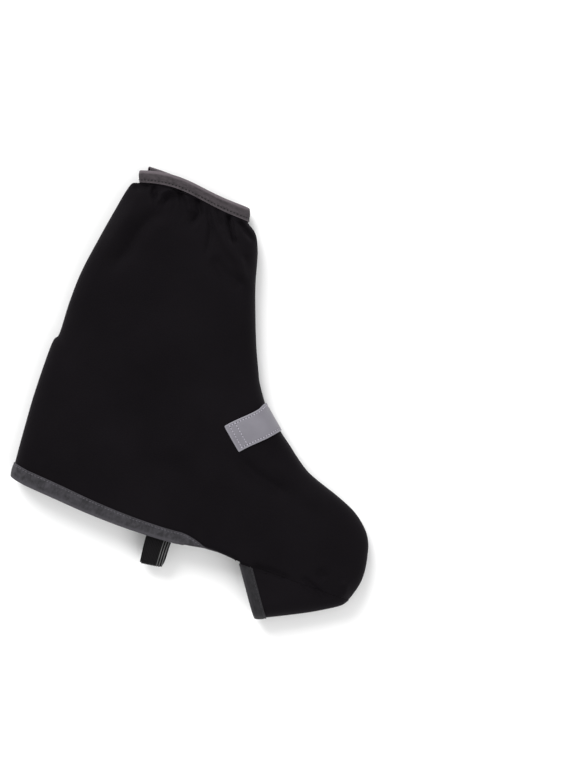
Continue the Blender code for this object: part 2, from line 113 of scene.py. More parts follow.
LOOP_SUNK = 0.2         # the ribs stand out of the webbing by this much
LOOP_STRIPS = 6
LOOP_COLUMNS = 33
LOOP_PITCH = 1.7

Section = namedtuple("Section", "place back_x back_y front_x front_y pitch bow skew spacing",
                     defaults=(0.0, 0.0, "even"))

SHAFT = [
    Section("leg opening", 12.9, 271.6, 110.6, 273.6, 1.2, 4.3, 2.0),
    Section("binding's edge", 15.9, 263.5, 113.8, 263.9, 1.0, 4.5, 2.0),
    Section("below binding", 10.6, 261.2, 114.4, 262.6, 1.2, 4.4, 2.0),
    Section("gathers", 7.6, 252.0, 123.5, 256.0, 1.2, 3.5, 1.5),
    Section("collar", 5.1, 238.0, 130.4, 241.5, 1.6, 2.0, 0.5),
    Section("upper calf", 0.6, 211.0, 137.6, 216.5, 2.4),
    Section("calf", -4.2, 177.0, 146.0, 193.2, 2.4),
    Section("lower calf", -5.0, 149.0, 156.0, 168.0, 2.4),
    Section("above notch", -3.9, 121.0, 166.0, 146.2, 1.6),
    Section("below notch", -7.0, 111.0, 170.0, 138.5, 2.4),
    Section("ankle", -6.6, 70.0, 179.5, 125.0, 2.4),
    Section("heel", -4.6, 38.0, 186.0, 119.0, 2.4),
    Section("heel hem", -0.9, -5.0, 191.5, 114.2, 1.0),
]

FOOT = [
    Section("heel hem", -0.9, -5.0, 191.5, 114.2, 1.2, spacing="start"),
    Section("heel tread", 13.1, -6.9, 193.0, 113.0, 2.4),
    Section("heel front", 42.0, -9.0, 195.5, 110.9, 2.4),
    Section("waist", 75.0, -11.2, 198.8, 108.2, 2.4),
    Section("arch", 110.0, -11.6, 203.5, 104.3, 2.4),
    Section("hem tuck", 147.0, -9.8, 211.5, 98.5, 1.6),
    Section("hem rise", 175.0, -5.6, 219.5, 92.3, 1.6),
    Section("hem end", 205.5, -7.2, 231.5, 84.0, 1.6),
    Section("ball", 222.0, -7.0, 243.8, 78.8, 1.8),
    Section("vamp", 248.0, -7.0, 265.4, 71.6, 1.8),
    Section("toe box", 273.0, -6.8, 282.6, 64.0, 1.6, -2.0),
    Section("toe rise", 287.0, -6.8, 295.2, 53.8, 1.4, -3.4),
    Section("toe front", 296.2, -6.6, 301.9, 43.6, 1.0, -3.6, 0.0, "end"),
    Section("toe end", 302.8, -6.0, 305.4, 31.4, 1.0, -3.2),
]
HEM_END = "hem end"

SoleSection = namedtuple("SoleSection", "place crease_x fold_x fold_y pitch")

SOLE = [
    SoleSection("rear edge", 205.6, 234.3, -48.0, 1.0),
    SoleSection("rear binding", 215.6, 242.0, -44.9, 1.3),
    SoleSection("ball", 232.0, 255.4, -38.3, 1.3),
    SoleSection("middle", 256.0, 275.0, -28.2, 1.3),
    SoleSection("toe bend", 280.0, 290.0, -19.3, 1.3),
    SoleSection("toe corner", 293.5, 298.6, -13.2, 1.1),
    SoleSection("toe end", 302.3, 302.7, -7.6, 1.0),
]

# Angles round the roll at a fold line, close together where the cloth turns into the seam.
ROLL_ANGLES = np.radians([0, 0.9, 2.0, 3.2, 6.0] + list(range(10, 95, 5)))
ROLL_REACH = ROLL * (1 - np.cos(ROLL_ANGLES))
MIDDLE_STRIPS = 84
LEAST_STRIPS = 2
LEAST_SLANT = 0.5
FLAP_SHARE = 6          # the flap reaches one part in six across the middle
SOLE_SHARES = np.concatenate([[0.0, 0.02, 0.05, 0.1], np.arange(1, 16) / 16])
LINE_PITCH = 1.5        # spacing of the points on the lines that cloth is measured from
HEM_PITCH = 1.0
FOLD_LINE_PITCH = 0.4
SHARP_ANGLE = math.radians(50)
TINY = 1e-9

# ---- folds of the upper wall: height is positive for a ridge and negative for a valley --------
Fold = namedtuple("Fold", "place height width fade line")

FOLDS = [
    Fold("pocket at the binding's end", -1.9, 3.4, 5, ((12.0, 258.0), (19.0, 261.4), (27.0, 263.4))),
    Fold("groove beside it", -1.7, 2.5, 6, ((28.4, 266.5), (31.0, 259.5), (35.6, 253.6))),
    Fold("hooked ridge", 1.8, 2.3, 5, ((38.4, 251.5), (38.0, 261.0), (42.0, 265.5), (49.0, 268.5))),
    Fold("pocket in the hook", -1.0, 3.4, 4, ((40.0, 255.5), (45.5, 260.0), (52.0, 262.0))),
    Fold("valley behind the calf", -2.5, 6.4, 24,
         ((50.0, 249.0), (36.0, 238.0), (29.7, 225.4), (25.0, 203.0), (20.0, 182.0))),
    Fold("roll of the back edge", 1.6, 7.5, 25,
         ((22.0, 251.0), (18.5, 238.0), (15.5, 222.0), (12.5, 190.0))),
    Fold("short dip", -1.2, 2.4, 4, ((49.5, 269.5), (52.5, 266.0), (56.6, 259.5))),
    Fold("ridge from the band", 1.3, 3.2, 6, ((56.0, 270.0), (61.0, 262.0), (67.5, 252.5))),
    Fold("bent valley", -1.9, 3.0, 8, ((64.5, 271.0), (73.0, 256.3), (69.8, 243.0))),
    Fold("thin valley", -1.0, 2.2, 12, ((77.0, 267.0), (87.3, 246.3), (91.4, 222.0))),
    Fold("long ridge to the shin", 1.9, 4.6, 14,
         ((80.5, 267.0), (90.6, 252.0), (104.3, 239.1), (118.6, 229.1), (132.0, 212.0))),
    Fold("valley above the long ridge", -1.5, 2.6, 7, ((84.0, 267.0), (90.0, 258.0), (97.0, 250.0))),
    Fold("deep gather", -2.4, 2.3, 7, ((95.0, 265.5), (103.7, 250.5), (110.2, 240.0))),
    Fold("gather ridge", 1.5, 1.9, 6, ((100.5, 263.5), (105.0, 254.0), (110.2, 245.0))),
    Fold("shin gather", -2.2, 2.3, 6, ((105.0, 262.5), (115.5, 254.8), (125.0, 249.6))),
    Fold("shin ridge", 1.3, 1.9, 5, ((109.0, 264.0), (114.0, 260.8), (119.4, 257.6))),
    Fold("dip beside the shin", -1.5, 5.0, 8, ((95.0, 225.5), (110.2, 215.3), (131.0, 211.0))),
    Fold("small dip", -1.0, 2.6, 3, ((121.3, 236.5), (124.4, 230.5))),
    Fold("ankle bump", 0.7, 9.0, 16, ((104.0, 58.0), (120.0, 63.5), (138.0, 67.5))),
    Fold("ankle crease", -0.75, 7.5, 18, ((102.0, 50.5), (118.0, 47.5), (142.0, 44.5))),
    Fold("instep crease", -1.7, 5.5, 16, ((168.0, 76.0), (191.4, 66.1), (228.0, 58.0))),
    Fold("instep roll", 1.0, 7.0, 18, ((200.0, 83.0), (228.0, 70.0), (262.0, 56.0))),
    Fold("toe corner", 1.5, 4.0, 6, ((294.0, 9.5), (298.0, -7.0))),
    Fold("sole seam", -0.55, 5.0, 10, ((212.0, -7.0), (250.0, -7.0), (298.0, -6.8))),
    Fold("sole seam, rear", -1.1, 3.0, 8, ((214.0, -7.2), (235.3, -5.8), (251.0, -6.8))),
    Fold("toe dip", -1.3, 5.0, 5, ((267.0, 9.4), (278.0, 3.2))),
    Fold("sole wrinkle", -1.0, 2.6, 5, ((258.0, -1.0), (270.0, -5.8), (285.0, -11.8))),
    Fold("sole wrinkle ridge", 1.1, 2.2, 4, ((259.5, -5.2), (272.5, -10.4))),
    Fold("hem roll", 1.2, 6.0, 14, ((158.0, 5.0), (180.0, 1.5), (204.0, -1.0))),
]

Swell = namedtuple("Swell", "place x y reach_x reach_y height")

SWELLS = [
    Swell("calf", 72.0, 180.0, 48.0, 70.0, 2.6),
    Swell("heel", 62.0, 62.0, 52.0, 46.0, 2.2),
    Swell("vamp", 205.0, 42.0, 60.0, 30.0, 1.8),
    Swell("toe box", 268.0, 30.0, 22.0, 20.0, 1.6),
]

Unevenness = namedtuple("Unevenness", "cell height")

UNEVENNESS = [Unevenness(52.0, 1.1), Unevenness(23.0, 0.45), Unevenness(11.0, 0.14)]
UNEVEN_MOST = sum(layer.height for layer in UNEVENNESS)
LATTICE = 40            # random heights along each side of a layer's lattice
LATTICE_START = 8
UPPER_SEED = 11
LOWER_SEED = 29
LOWER_UNEVEN = 0.8
LOWER_UNEVEN_START = (20.0, 50.0)

FOLD_STRENGTH = 2.0
FOLDS_UNDER_BAND = 0.25
FOLDS_START = (6.0, 13.0)

# Pleats of the leg opening: two waves, the first with a slow drift; turns are per millimetre.
Pleat = namedtuple("Pleat", "share turn drift drift_turn phase")

WIDE_PLEAT = Pleat(0.6, 0.72, 0.8, 0.11, 0.0)
FINE_PLEAT = Pleat(0.4, 1.21, 0.0, 0.0, 1.7)
GATHER_START = (9.0, 17.0)
GATHER_FADE = (13.0, 46.0)
GATHER_LIFT_REACH = 50.0
GATHER_UPPER = 0.28
GATHER_LOWER = 0.85
GATHER_UNDER_BAND = 0.35

# The hem turns under between the arch and the toe: roll radius, then a wider hidden bend.
CURL_IN = (150.0, 191.0)
CURL_OUT = (196.0, 205.0)
CURL_REACH = 30.0
CURL_RADIUS = 4.5
UNDER_RADIUS = 9.0
UNDER_LENGTH = 11.5

# The lower wall's bound corner shows past the upper one at the back slit.
PEEK = Swell("far corner of the leg opening", 14.0, 274.0, 21.0, 16.0, 4.6)
PEEK_ASIDE = 3.0

TOP_BAND_START = 7      # the binding stops just short of the back fold line
TOE_BAND_START = 2
HEM_BAND_STOP = 3.5     # the hem binding stops this far short of the hem's end
HEM_NARROWS = 2.3       # its tape shows this much less at the arch than at the heel
HEM_NARROWS_FROM = (20.0, 150.0)
HEM_END_COVER = 3.0
HEM_END_FROM = (189.0, 199.0)
HEM_TURN = 20.0         # how fast the hem binding turns from the heel's edge into the hem

# A tape's rounded free edge, and how its stitches draw it down.
TAPE_ROUND = 0.5
TAPE_DRAWN = 0.25
TAPE_DRAWN_WIDTH = 0.75
RIBBON_ROUND = 0.45
RIBBON_DRAWN = 0.22
RIBBON_DRAWN_WIDTH = 0.6
RIBBON_CROWN = 0.12
STITCH_SUNK = 0.06      # how deep a binding's stitches lie in its tape
RIBBON_STITCH_SUNK = 0.02
STITCH_SLACK = 0.05
CROSS_STITCH_UP = 0.1
CROSS_POINTS = 24
ROUNDED_END = np.array([0.0, 0.1, 0.25, 0.5, 0.8])      # stations round a ribbon's corners
RIBBON_END = 1.6        # where its even stations begin
RIBBON_STRAIGHT = 15.0  # run at which the strap leaves the roll of the shin fold
RIBBON_EDGE = np.array([0.0, 0.12, 0.3, 0.6, 1.1, 1.6, 2.0, 2.4, 2.8, 3.4])
RIBBON_INSIDE = 4.4
TAPE_TURN = np.linspace(0, math.pi, 11)
FREE_EDGE_HIGHLIGHT = 0.1    # shares of a leg with a painted highlight, at its free edge and at the turn
TURN_HIGHLIGHT = 0.16
RIBBON_HIGHLIGHT = 1.5       # width of a ribbon's edge with a painted highlight
LEG_SHARES = np.concatenate([[0, 0.012, 0.03, 0.05], np.linspace(0.09, 0.95, 15)])
PALE_RIBS = (0.25, 0.35, 0.45)
DARK_RIBS = np.linspace(-0.47, 0.17, 11)
RIB_SUNK = 0.25
RIB_WIDTH = 0.95

# Tints, as factors of red, green and blue.
PLAIN = (1.0, 1.0, 1.0)
VIOLET = (1.0, 0.865, 1.03)
WARM = (1.10, 0.93, 1.03)
COOL = (0.99, 0.94, 1.08)
SILVER = (0.98, 0.94, 1.08)
PALE_SILVER = (0.97, 0.95, 1.06)
TAPE_STREAKS = (0.45, 1.0, 1.0)     # a tape's flecks are longer along it than across

CAMERA_PLACE = (0.0420, 0.0310, 1.812)
CAMERA_TURN = math.radians(20.0)
CAMERA_LENS = 100.0
SENSOR_WIDTH = 36.0
SKY = 0.75
FLOOR_REACH = 6.0
FLOOR_SHADES = (0.88, 0.90)

SoftLight = namedtuple("SoftLight", "name from_x from_y from_z softness strength")

SOFT_LIGHTS = [
    SoftLight("key", -0.80, 0.75, 0.75, 35.0, 2.9),
    SoftLight("fill", 0.90, -0.50, 0.65, 60.0, 1.5),
]


# ---- plan ------------------------------------------------------------------------------------
def smooth_step(low, high, value):
    t = np.clip((np.asarray(value, float) - low) / (high - low), 0.0, 1.0)
    return t * t * (3 - 2 * t)


def unit(vectors):
    return vectors / np.maximum(np.linalg.norm(vectors, axis=-1, keepdims=True), TINY)


def spline(before, start, end, after, t):
    """Catmull-Rom value between start and end."""
    slope_in = (end - before) / 2
    slope_out = (after - start) / 2
    t2 = t * t
    t3 = t2 * t
    return ((2 * t3 - 3 * t2 + 1) * start + (t3 - 2 * t2 + t) * slope_in
            + (3 * t2 - 2 * t3) * end + (t3 - t2) * slope_out)


def steps(count, spacing):
    """Fractions along one interval; start and end crowd towards a fold line as its roll does."""
    t = np.arange(count) / count
    if spacing == "start":
        return 1 - np.cos(t * math.pi / 2)
    if spacing == "end":
        return np.sin(t * math.pi / 2)
    return t


def smooth_rows(rows, counts, spacings=None):
    """Every column of a table, splined, with the given number of strips in each interval."""
    rows = np.asarray(rows, float)
    spacings = spacings or ["even"] * len(counts)
    padded = np.vstack([2 * rows[:1] - rows[1:2], rows, 2 * rows[-1:] - rows[-2:-1]])
    smooth = [spline(*padded[k:k + 4], steps(count, spacing)[:, None])
              for k, (count, spacing) in enumerate(zip(counts, spacings))]
    return np.vstack(smooth + [rows[-1:]])


def strip_counts(table, ends):
    """Strips in each interval of a table, from the rows' pitch and the longer of its two sides."""
    counts = []
    for here, there in zip(table, table[1:]):
        spans = [math.hypot(getattr(there, x) - getattr(here, x), getattr(there, y) - getattr(here, y))
                 for x, y in ends]
        counts.append(max(LEAST_STRIPS, math.ceil(max(spans) / here.pitch)))
    return counts


def smooth_sections(table):
    rows = [[s.back_x, s.back_y, s.front_x, s.front_y, s.bow, s.skew] for s in table]
    counts = strip_counts(table, (("back_x", "back_y"), ("front_x", "front_y")))
    return smooth_rows(rows, counts, [s.spacing for s in table]), counts


def line_normals(line, turn):
    """Inward plan normals at the points of a polyline; turn is +1 or -1."""
    ahead = np.vstack([line[1:], line[-1:]]) - np.vstack([line[:1], line[:-1]])
    return unit(np.stack([-ahead[:, 1], ahead[:, 0]], axis=1) * turn)


def section_grid(rows, back_normals):
    """Plan points of every section line, crowded towards both of its ends."""
    back, front = rows[:, 0:2], rows[:, 2:4]
    length = np.linalg.norm(front - back, axis=1)[:, None]
    along = (front - back) / length
    slant = np.maximum((along * back_normals).sum(1), LEAST_SLANT)[:, None]
    first = ROLL_REACH / slant
    last = length - ROLL_REACH[::-1]
    gap = (last[:, :1] - first[:, -1:]) / MIDDLE_STRIPS
    middle = first[:, -1:] + gap * np.arange(1, MIDDLE_STRIPS)
    distance = np.hstack([first, middle, last])
    t = distance / length
    bend = rows[:, 4:5] * np.sin(math.pi * t) + rows[:, 5:6] * np.sin(2 * math.pi * t)
    side = np.stack([-along[:, 1], along[:, 0]], axis=1)
    return (back[:, None] + along[:, None] * distance[..., None]
            + side[:, None] * bend[..., None])


def thinned(line, least=FOLD_LINE_PITCH):
    """A polyline without the points that crowd closer than `least`."""
    kept = [line[0]]
    for point in line[1:]:
        if np.hypot(*(point - kept[-1])) >= least:
            kept.append(point)
    return np.array(kept)


def row_of(table, counts, place):
    """Row number of a named section in its smoothed table."""
    names = [s.place for s in table]
    return sum(counts[:names.index(place)])


shaft, shaft_counts = smooth_sections(SHAFT)
foot, foot_counts = smooth_sections(FOOT)
back_line = shaft[:, :2]
hem_line = foot[:, :2]
shaft_plan = section_grid(shaft, line_normals(back_line, 1))
foot_plan = section_grid(foot, line_normals(hem_line, 1))
foot_plan[0] = shaft_plan[-1]
side_plan = np.concatenate([shaft_plan, foot_plan[1:]])
COLUMNS = side_plan.shape[1]
BAND_ROW = row_of(SHAFT, shaft_counts, "binding's edge")
FLAP_TOP = row_of(SHAFT, shaft_counts, "gathers")
NOTCH = row_of(SHAFT, shaft_counts, "above notch")
NOTCH_END = row_of(SHAFT, shaft_counts, "below notch")
HEM_END_ROW = row_of(FOOT, foot_counts, HEM_END)


def sole_grid():
    """Plan points across half the toe sole, from its seam to its fold."""
    counts = strip_counts(SOLE, (("fold_x", "fold_y"),))
    rows = smooth_rows([[s.crease_x, s.fold_x, s.fold_y] for s in SOLE], counts)
    seam_y = np.interp(rows[:, 0], hem_line[:, 0], hem_line[:, 1]) - SEAM_SLIT
    seam = np.stack([rows[:, 0], seam_y], axis=1)
    length = np.linalg.norm(rows[:, 1:] - seam, axis=1)[:, None]
    roll = np.minimum(ROLL, SHORT_ROLL * length)
    near_fold = length - roll * (1 - np.cos(ROLL_ANGLES[::-1]))
    distance = np.hstack([near_fold[:, :1] * SOLE_SHARES, near_fold])
    return seam[:, None] + (rows[:, 1:] - seam)[:, None] * (distance / length)[..., None], counts


sole_plan, sole_counts = sole_grid()
front_line = thinned(np.concatenate([side_plan[:, -1], side_plan[-1, -2::-1], sole_plan[::-1, -1]]))
back_fold = thinned(back_line)
FOLD_LINES = ((back_fold, line_normals(back_fold, 1)), (front_line, line_normals(front_line, -1)))
top_line = thinned(shaft_plan[0], LINE_PITCH)
hem_edge = thinned(hem_line[:HEM_END_ROW + 1], HEM_PITCH)
hem_normals = line_normals(hem_edge, 1)
sole_edge = thinned(sole_plan[0], LINE_PITCH)
toe_seam = thinned(hem_line[HEM_END_ROW:], LINE_PITCH)


# ---- from plan to the two walls --------------------------------------------------------------
def nearest(points, line):
    """Distance from each point to a polyline, with the segment and the fraction along it."""
    best = np.full(len(points), np.inf)
    segment = np.zeros(len(points), int)
    fraction = np.zeros(len(points))
    for k in range(len(line) - 1):
        run = line[k + 1] - line[k]
        away = points - line[k]
        t = np.clip(away @ run / max(run @ run, TINY), 0.0, 1.0)
        gap = np.hypot(away[:, 0] - t * run[0], away[:, 1] - t * run[1])
        closer = gap < best
        best[closer] = gap[closer]
        segment[closer] = k
        fraction[closer] = t[closer]
    return best, segment, fraction


def travelled(line):
    """Distance along a polyline to each of its points."""
    return np.concatenate([[0.0], np.cumsum(np.linalg.norm(np.diff(line, axis=0), axis=1))])


def blend_at(values, segment, fraction):
    """Values kept at a polyline's points, read part-way along its segments."""
    share = fraction.reshape(-1, *[1] * (values.ndim - 1))
    return values[segment] * (1 - share) + values[segment + 1] * share


def nearest_fold(points):
    """Distance from the nearest fold line, and the plan direction that leads away from it."""
    found = []
    for line, inward in FOLD_LINES:
        distance, segment, fraction = nearest(points, line)
        found.append((distance, unit(blend_at(inward, segment, fraction))))
    (back_distance, back_inward), (front_distance, front_inward) = found
    front = front_distance < back_distance
    return (np.where(front, front_distance, back_distance),
            np.where(front[:, None], front_inward, back_inward))


def folds(points):
    """Height that the ridges and valleys add at each plan point."""
    height = np.zeros(len(points))
    for fold in FOLDS:
        line = np.array(fold.line)
        distance, segment, fraction = nearest(points, line)
        reach = travelled(line)
        along = blend_at(reach, segment, fraction)
        taper = smooth_step(0, fold.fade, along + 1) * smooth_step(0, fold.fade, reach[-1] - along + 1)
        height += fold.height * taper * np.exp(-(distance / fold.width) ** 2)
    return height


def bell(points, swell):
    """1 in the middle of a swell, falling away to 0."""
    away_x = (points[:, 0] - swell.x) / swell.reach_x
    away_y = (points[:, 1] - swell.y) / swell.reach_y
    return np.exp(-(away_x ** 2 + away_y ** 2))


def unevenness(points, seed):
    """Soft random swelling of cloth that has been handled, from -1 to 1 times its heights."""
    random = np.random.default_rng(seed)
    height = np.zeros(len(points))
    for layer in UNEVENNESS:
        lattice = random.uniform(-1, 1, (LATTICE, LATTICE))
        place = points / layer.cell + LATTICE_START
        low = np.floor(place).astype(int)
        t = place - low
        t = t * t * t * (t * (6 * t - 15) + 10)
        x, y = low.T % (LATTICE - 1)
        near = lattice[x, y] * (1 - t[:, 0]) + lattice[x + 1, y] * t[:, 0]
        far = lattice[x, y + 1] * (1 - t[:, 0]) + lattice[x + 1, y + 1] * t[:, 0]
        height += layer.height * (near * (1 - t[:, 1]) + far * t[:, 1])
    return height


def gathers(points, amount):
    """Small pleats that the elastic of the leg opening draws into the cloth."""
    distance, segment, fraction = nearest(points, top_line)
    along = (segment + fraction) * LINE_PITCH
    pleat = sum(p.share * np.sin(along * p.turn + p.drift * np.sin(along * p.drift_turn) + p.phase)
                for p in (WIDE_PLEAT, FINE_PLEAT))
    drawn = smooth_step(*GATHER_START, distance) * (1 - smooth_step(*GATHER_FADE, distance))
    under_band = GATHER_UNDER_BAND * (distance < GATHER_START[1]) * (1 - drawn)
    return amount * pleat * np.maximum(drawn, under_band)


def rise(points):
    """Height of the upper wall above the fold line."""
    opening = nearest(points, top_line)[0]
    drawn_in = smooth_step(0, RISE_FADE, opening)
    height = RISE_TOP + (RISE - RISE_TOP) * drawn_in
    height -= TOE_SINK * smooth_step(*TOE_SINK_SPAN, points[:, 0])
    height += gathers(points, GATHER_UPPER)
    under_band = FOLDS_UNDER_BAND + (1 - FOLDS_UNDER_BAND) * smooth_step(*FOLDS_START, opening)
    height += FOLD_STRENGTH * folds(points) * under_band
    swells = sum(swell.height * bell(points, swell) for swell in SWELLS)
    return height + (swells + unevenness(points, UPPER_SEED)) * drawn_in


def strap_frame(points):
    """Run from the shin fold and offset across the strap, of plan points."""
    away = points - STRAP_FOLD
    return away @ STRAP_ALONG, away @ np.array((-STRAP_ALONG[1], STRAP_ALONG[0]))


def lift(points):
    """How far the lower wall is off the floor: bindings and strap under it, and its wrinkles."""
    bound = np.minimum.reduce([nearest(points, line)[0] for line in (top_line, hem_edge, sole_edge)])
    by_band = BAND_LIFT * (1 - smooth_step(*BAND_LIFT_FADE, bound))
    run, offset = strap_frame(points)
    beyond = np.hypot(np.maximum(run - PATCH_RUN[1] - STRAP_LIFT_PAST, 0),
                      np.maximum(np.abs(offset) - STRAP_WIDTH, 0))
    by_strap = STRAP_LAYERS * (1 - smooth_step(0, STRAP_LIFT_FADE, beyond))
    wrinkled = (LOWER_UNEVEN * (unevenness(points, LOWER_SEED) + UNEVEN_MOST)
                * smooth_step(*LOWER_UNEVEN_START, bound))
    pleated = by_band + gathers(points, GATHER_LOWER) + GATHER_LOWER * (bound < GATHER_LIFT_REACH)
    return np.maximum(pleated, by_strap) + wrinkled


def curl_share(x):
    """How far the hem is turned under: 0 where it lies open, 1 where its binding is hidden."""
    return smooth_step(*CURL_IN, x) * (1 - smooth_step(*CURL_OUT, x))


def curl_length(share):
    """Length of cloth that is laid over the last CURL_REACH of the plan."""
    return CURL_REACH + share * (CURL_RADIUS * (math.pi / 2 - 1) + UNDER_LENGTH)


def curl(points, level, normal):
    """Turns the edge of the upper wall under, between the arch and the toe."""
    reach, segment, fraction = nearest(points, hem_edge)
    edge = blend_at(hem_edge, segment, fraction)
    inward = unit(blend_at(hem_normals, segment, fraction))
    share = curl_share(edge[:, 0])
    turned = (share > 0.001) & (reach < CURL_REACH)
    length = curl_length(share)
    laid = (1 - reach / CURL_REACH) * length
    radius = np.maximum(share * CURL_RADIUS, 1e-3)
    straight = CURL_REACH - radius
    over = np.clip(laid - straight, 0, radius * math.pi / 2) / radius
    under = np.maximum(laid - straight - radius * math.pi / 2, 0) / UNDER_RADIUS
    out = np.minimum(laid, straight) + radius * np.sin(over) - UNDER_RADIUS * (1 - np.cos(under))
    drop = radius * (1 - np.cos(over)) + UNDER_RADIUS * np.sin(under)
    angle = (over + under)[:, None]
    turned_normal = np.hstack([-inward * np.sin(angle), np.cos(angle)])
    moved = edge + inward * (CURL_REACH - out)[:, None]
    pick = turned[:, None]
    return (np.where(pick, moved, points), np.where(turned, level - drop, level),
            np.where(pick, turned_normal, normal))


def peek(points):
    """Shifts the lower wall where its bound corner shows past the upper one at the back slit."""
    return points + bell(points, PEEK)[:, None] * np.array((PEEK_ASIDE, PEEK.height))


def seam_dip(distance):
    """How deep the outer face lies where the cloth turns into a seam, `distance` away from it."""
    near = np.clip(SEAM_ROUND - distance, 0, SEAM_ROUND)
    return SEAM_ROUND - np.sqrt(np.maximum(SEAM_ROUND ** 2 - near ** 2, 0))


def skin(points, side, depth=0.0, fold=None, sewn=0.0):
    """Points `depth` under the outer face of one wall, above plan points.

    fold gives the distance and direction from the fold line where the nearest one won't do,
    and sewn, 0 to 1, turns the face into the seam that runs along the fold line.
    """
    points = np.asarray(points, float)
    shape = points.shape[:-1]
    plan = points.reshape(-1, 2)
    depth = np.broadcast_to(depth, shape).reshape(-1)
    if fold is None:
        distance, inward = nearest_fold(plan)
    else:
        distance = np.broadcast_to(fold[0], shape).reshape(-1)
        inward = np.broadcast_to(fold[1], (*shape, 2)).reshape(-1, 2)
    lean = 1 - np.minimum(distance / ROLL, 1.0)
    climb = np.sqrt(np.maximum(1 - lean ** 2, 0.0))
    height = rise(plan) if side == UPPER else FOLD_HEIGHT - SEAM_SLIT / 2 - lift(plan)
    level = FOLD_HEIGHT + side * (SEAM_SLIT / 2 + height * climb)
    normal = unit(np.hstack([-inward * (lean / ROLL)[:, None], (side * climb / height)[:, None]]))
    depth = depth + np.broadcast_to(sewn, shape).reshape(-1) * seam_dip(height * climb)
    if side == UPPER:
        plan, level, normal = curl(plan, level, normal)
    else:
        plan = peek(plan)
    solid = np.hstack([plan, level[:, None]]) - normal * depth[:, None]
    return solid.reshape(*shape, 3)


def flat_cloth(points, fold):
    """Where plan points lie on the cut piece, with the roll at the fold line laid flat."""
    distance, inward = fold
    inside = np.minimum(distance, ROLL)
    around = ROLL * (math.pi / 2 - np.arccos(np.clip(1 - inside / ROLL, 0, 1)))
    return points + inward * (ROLL - inside - around)[..., None]


# ---- meshes ----------------------------------------------------------------------------------
def frame_shift():
    """From the pattern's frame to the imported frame, in millimetres."""
    low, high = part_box("medial_panel")
    plan = side_plan.reshape(-1, 2)
    middle = (plan.min(0) + plan.max(0)) / 2
    return np.array(((low.x + high.x) / 2 / MM - middle[0], (low.y + high.y) / 2 / MM - middle[1], 0.0))


SHIFT = frame_shift()


def placed(points):
    return (np.asarray(points).reshape(-1, 3) + SHIFT) * MM


def add_object(name, data):
    thing = bpy.data.objects.new(name, data)
    bpy.context.scene.collection.objects.link(thing)
    return thing


def new_piece(name, points, faces, uvs, edge_mask, finish):
    """A smooth mesh piece with its cloth map, its edge mask and its material."""
    data = bpy.data.meshes.new(name)
    data.from_pydata(placed(points).tolist(), [], faces)
    build = bmesh.new()
    build.from_mesh(data)
    bmesh.ops.recalc_face_normals(build, faces=build.faces)
    build.to_mesh(data)
    build.free()
    corners = np.empty(len(data.loops), int)
    data.loops.foreach_get("vertex_index", corners)
    layer = data.uv_layers.new(name="cloth")
    layer.data.foreach_set("uv", (uvs[corners] * MM).ravel())
    mask = data.attributes.new("edge", "FLOAT", "POINT")
    mask.data.foreach_set("value", edge_mask)
    data.shade_smooth()
    data.set_sharp_from_angle(angle=SHARP_ANGLE)
    data.materials.append(finish)
    return add_object(name, data)


def wall(name, finish, outer, inner, uv, edge_mask=None, keep=None):
    """A closed piece between an outer and an inner grid of points.

    keep says which cells of the grid are cloth, where not all are.
    """
    rows, columns = outer.shape[:2]
    index = np.arange(rows * columns).reshape(rows, columns)
    cells = np.stack([index[:-1, :-1], index[1:, :-1], index[1:, 1:], index[:-1, 1:]], axis=-1)
    cells = cells[keep] if keep is not None else cells.reshape(-1, 4)
    used, cells = np.unique(cells, return_inverse=True)
    cells = cells.reshape(-1, 4)
    sides = {}
    for a, b in np.stack([cells, np.roll(cells, -1, axis=1)], axis=-1).reshape(-1, 2).tolist():
        if (b, a) in sides:
            del sides[(b, a)]
        else:
            sides[(a, b)] = True
    size = len(used)
    rim = [[b, a, a + size, b + size] for a, b in sides]
    faces = cells.tolist() + (cells[:, ::-1] + size).tolist() + rim
    points = np.concatenate([outer.reshape(-1, 3)[used], inner.reshape(-1, 3)[used]])
    uvs = np.tile(uv.reshape(-1, 2)[used], (2, 1))
    mask = np.zeros(rows * columns) if edge_mask is None else np.broadcast_to(
        edge_mask, (rows, columns)).reshape(-1)
    return new_piece(name, points, faces, uvs, np.tile(mask[used], 2), finish)


def polyline_mesh(name, paths):
    """Open paths as plain edges, for the node trees that follow them."""
    points, edges = [], []
    for path in paths:
        first = len(points)
        points += placed(path).tolist()
        edges += [(first + k, first + k + 1) for k in range(len(path) - 1)]
    data = bpy.data.meshes.new(name)
    data.from_pydata(points, edges, [])
    return add_object(name, data)


# ---- node trees that follow a path -----------------------------------------------------------
def new_tree(name, kind, inputs, outputs):
    """A node group with named inputs (name, kind, value) and outputs (name, kind)."""
    tree = bpy.data.node_groups.new(name, kind)
    for label, socket_kind in outputs:
        tree.interface.new_socket(name=label, in_out="OUTPUT", socket_type="NodeSocket" + socket_kind)
    for label, socket_kind, value in inputs:
        socket = tree.interface.new_socket(name=label, in_out="INPUT",
                                           socket_type="NodeSocket" + socket_kind)
        if value is not None:
            socket.default_value = value
    return tree, tree.nodes.new("NodeGroupInput").outputs, tree.nodes.new("NodeGroupOutput").inputs


def feed(tree, socket, value):
    """Gives an input either another node's output or a value of its own."""
    if isinstance(value, bpy.types.NodeSocket):
        tree.links.new(value, socket)
    else:
        socket.default_value = value


def add_node(tree, kind, links=None, **settings):
    """A node with its settings; links names its inputs and what each is fed."""
    node = tree.nodes.new(kind)
    for key, value in settings.items():
        setattr(node, key, value)
    for key, value in (links or {}).items():
        feed(tree, node.inputs[key], value)
    return node


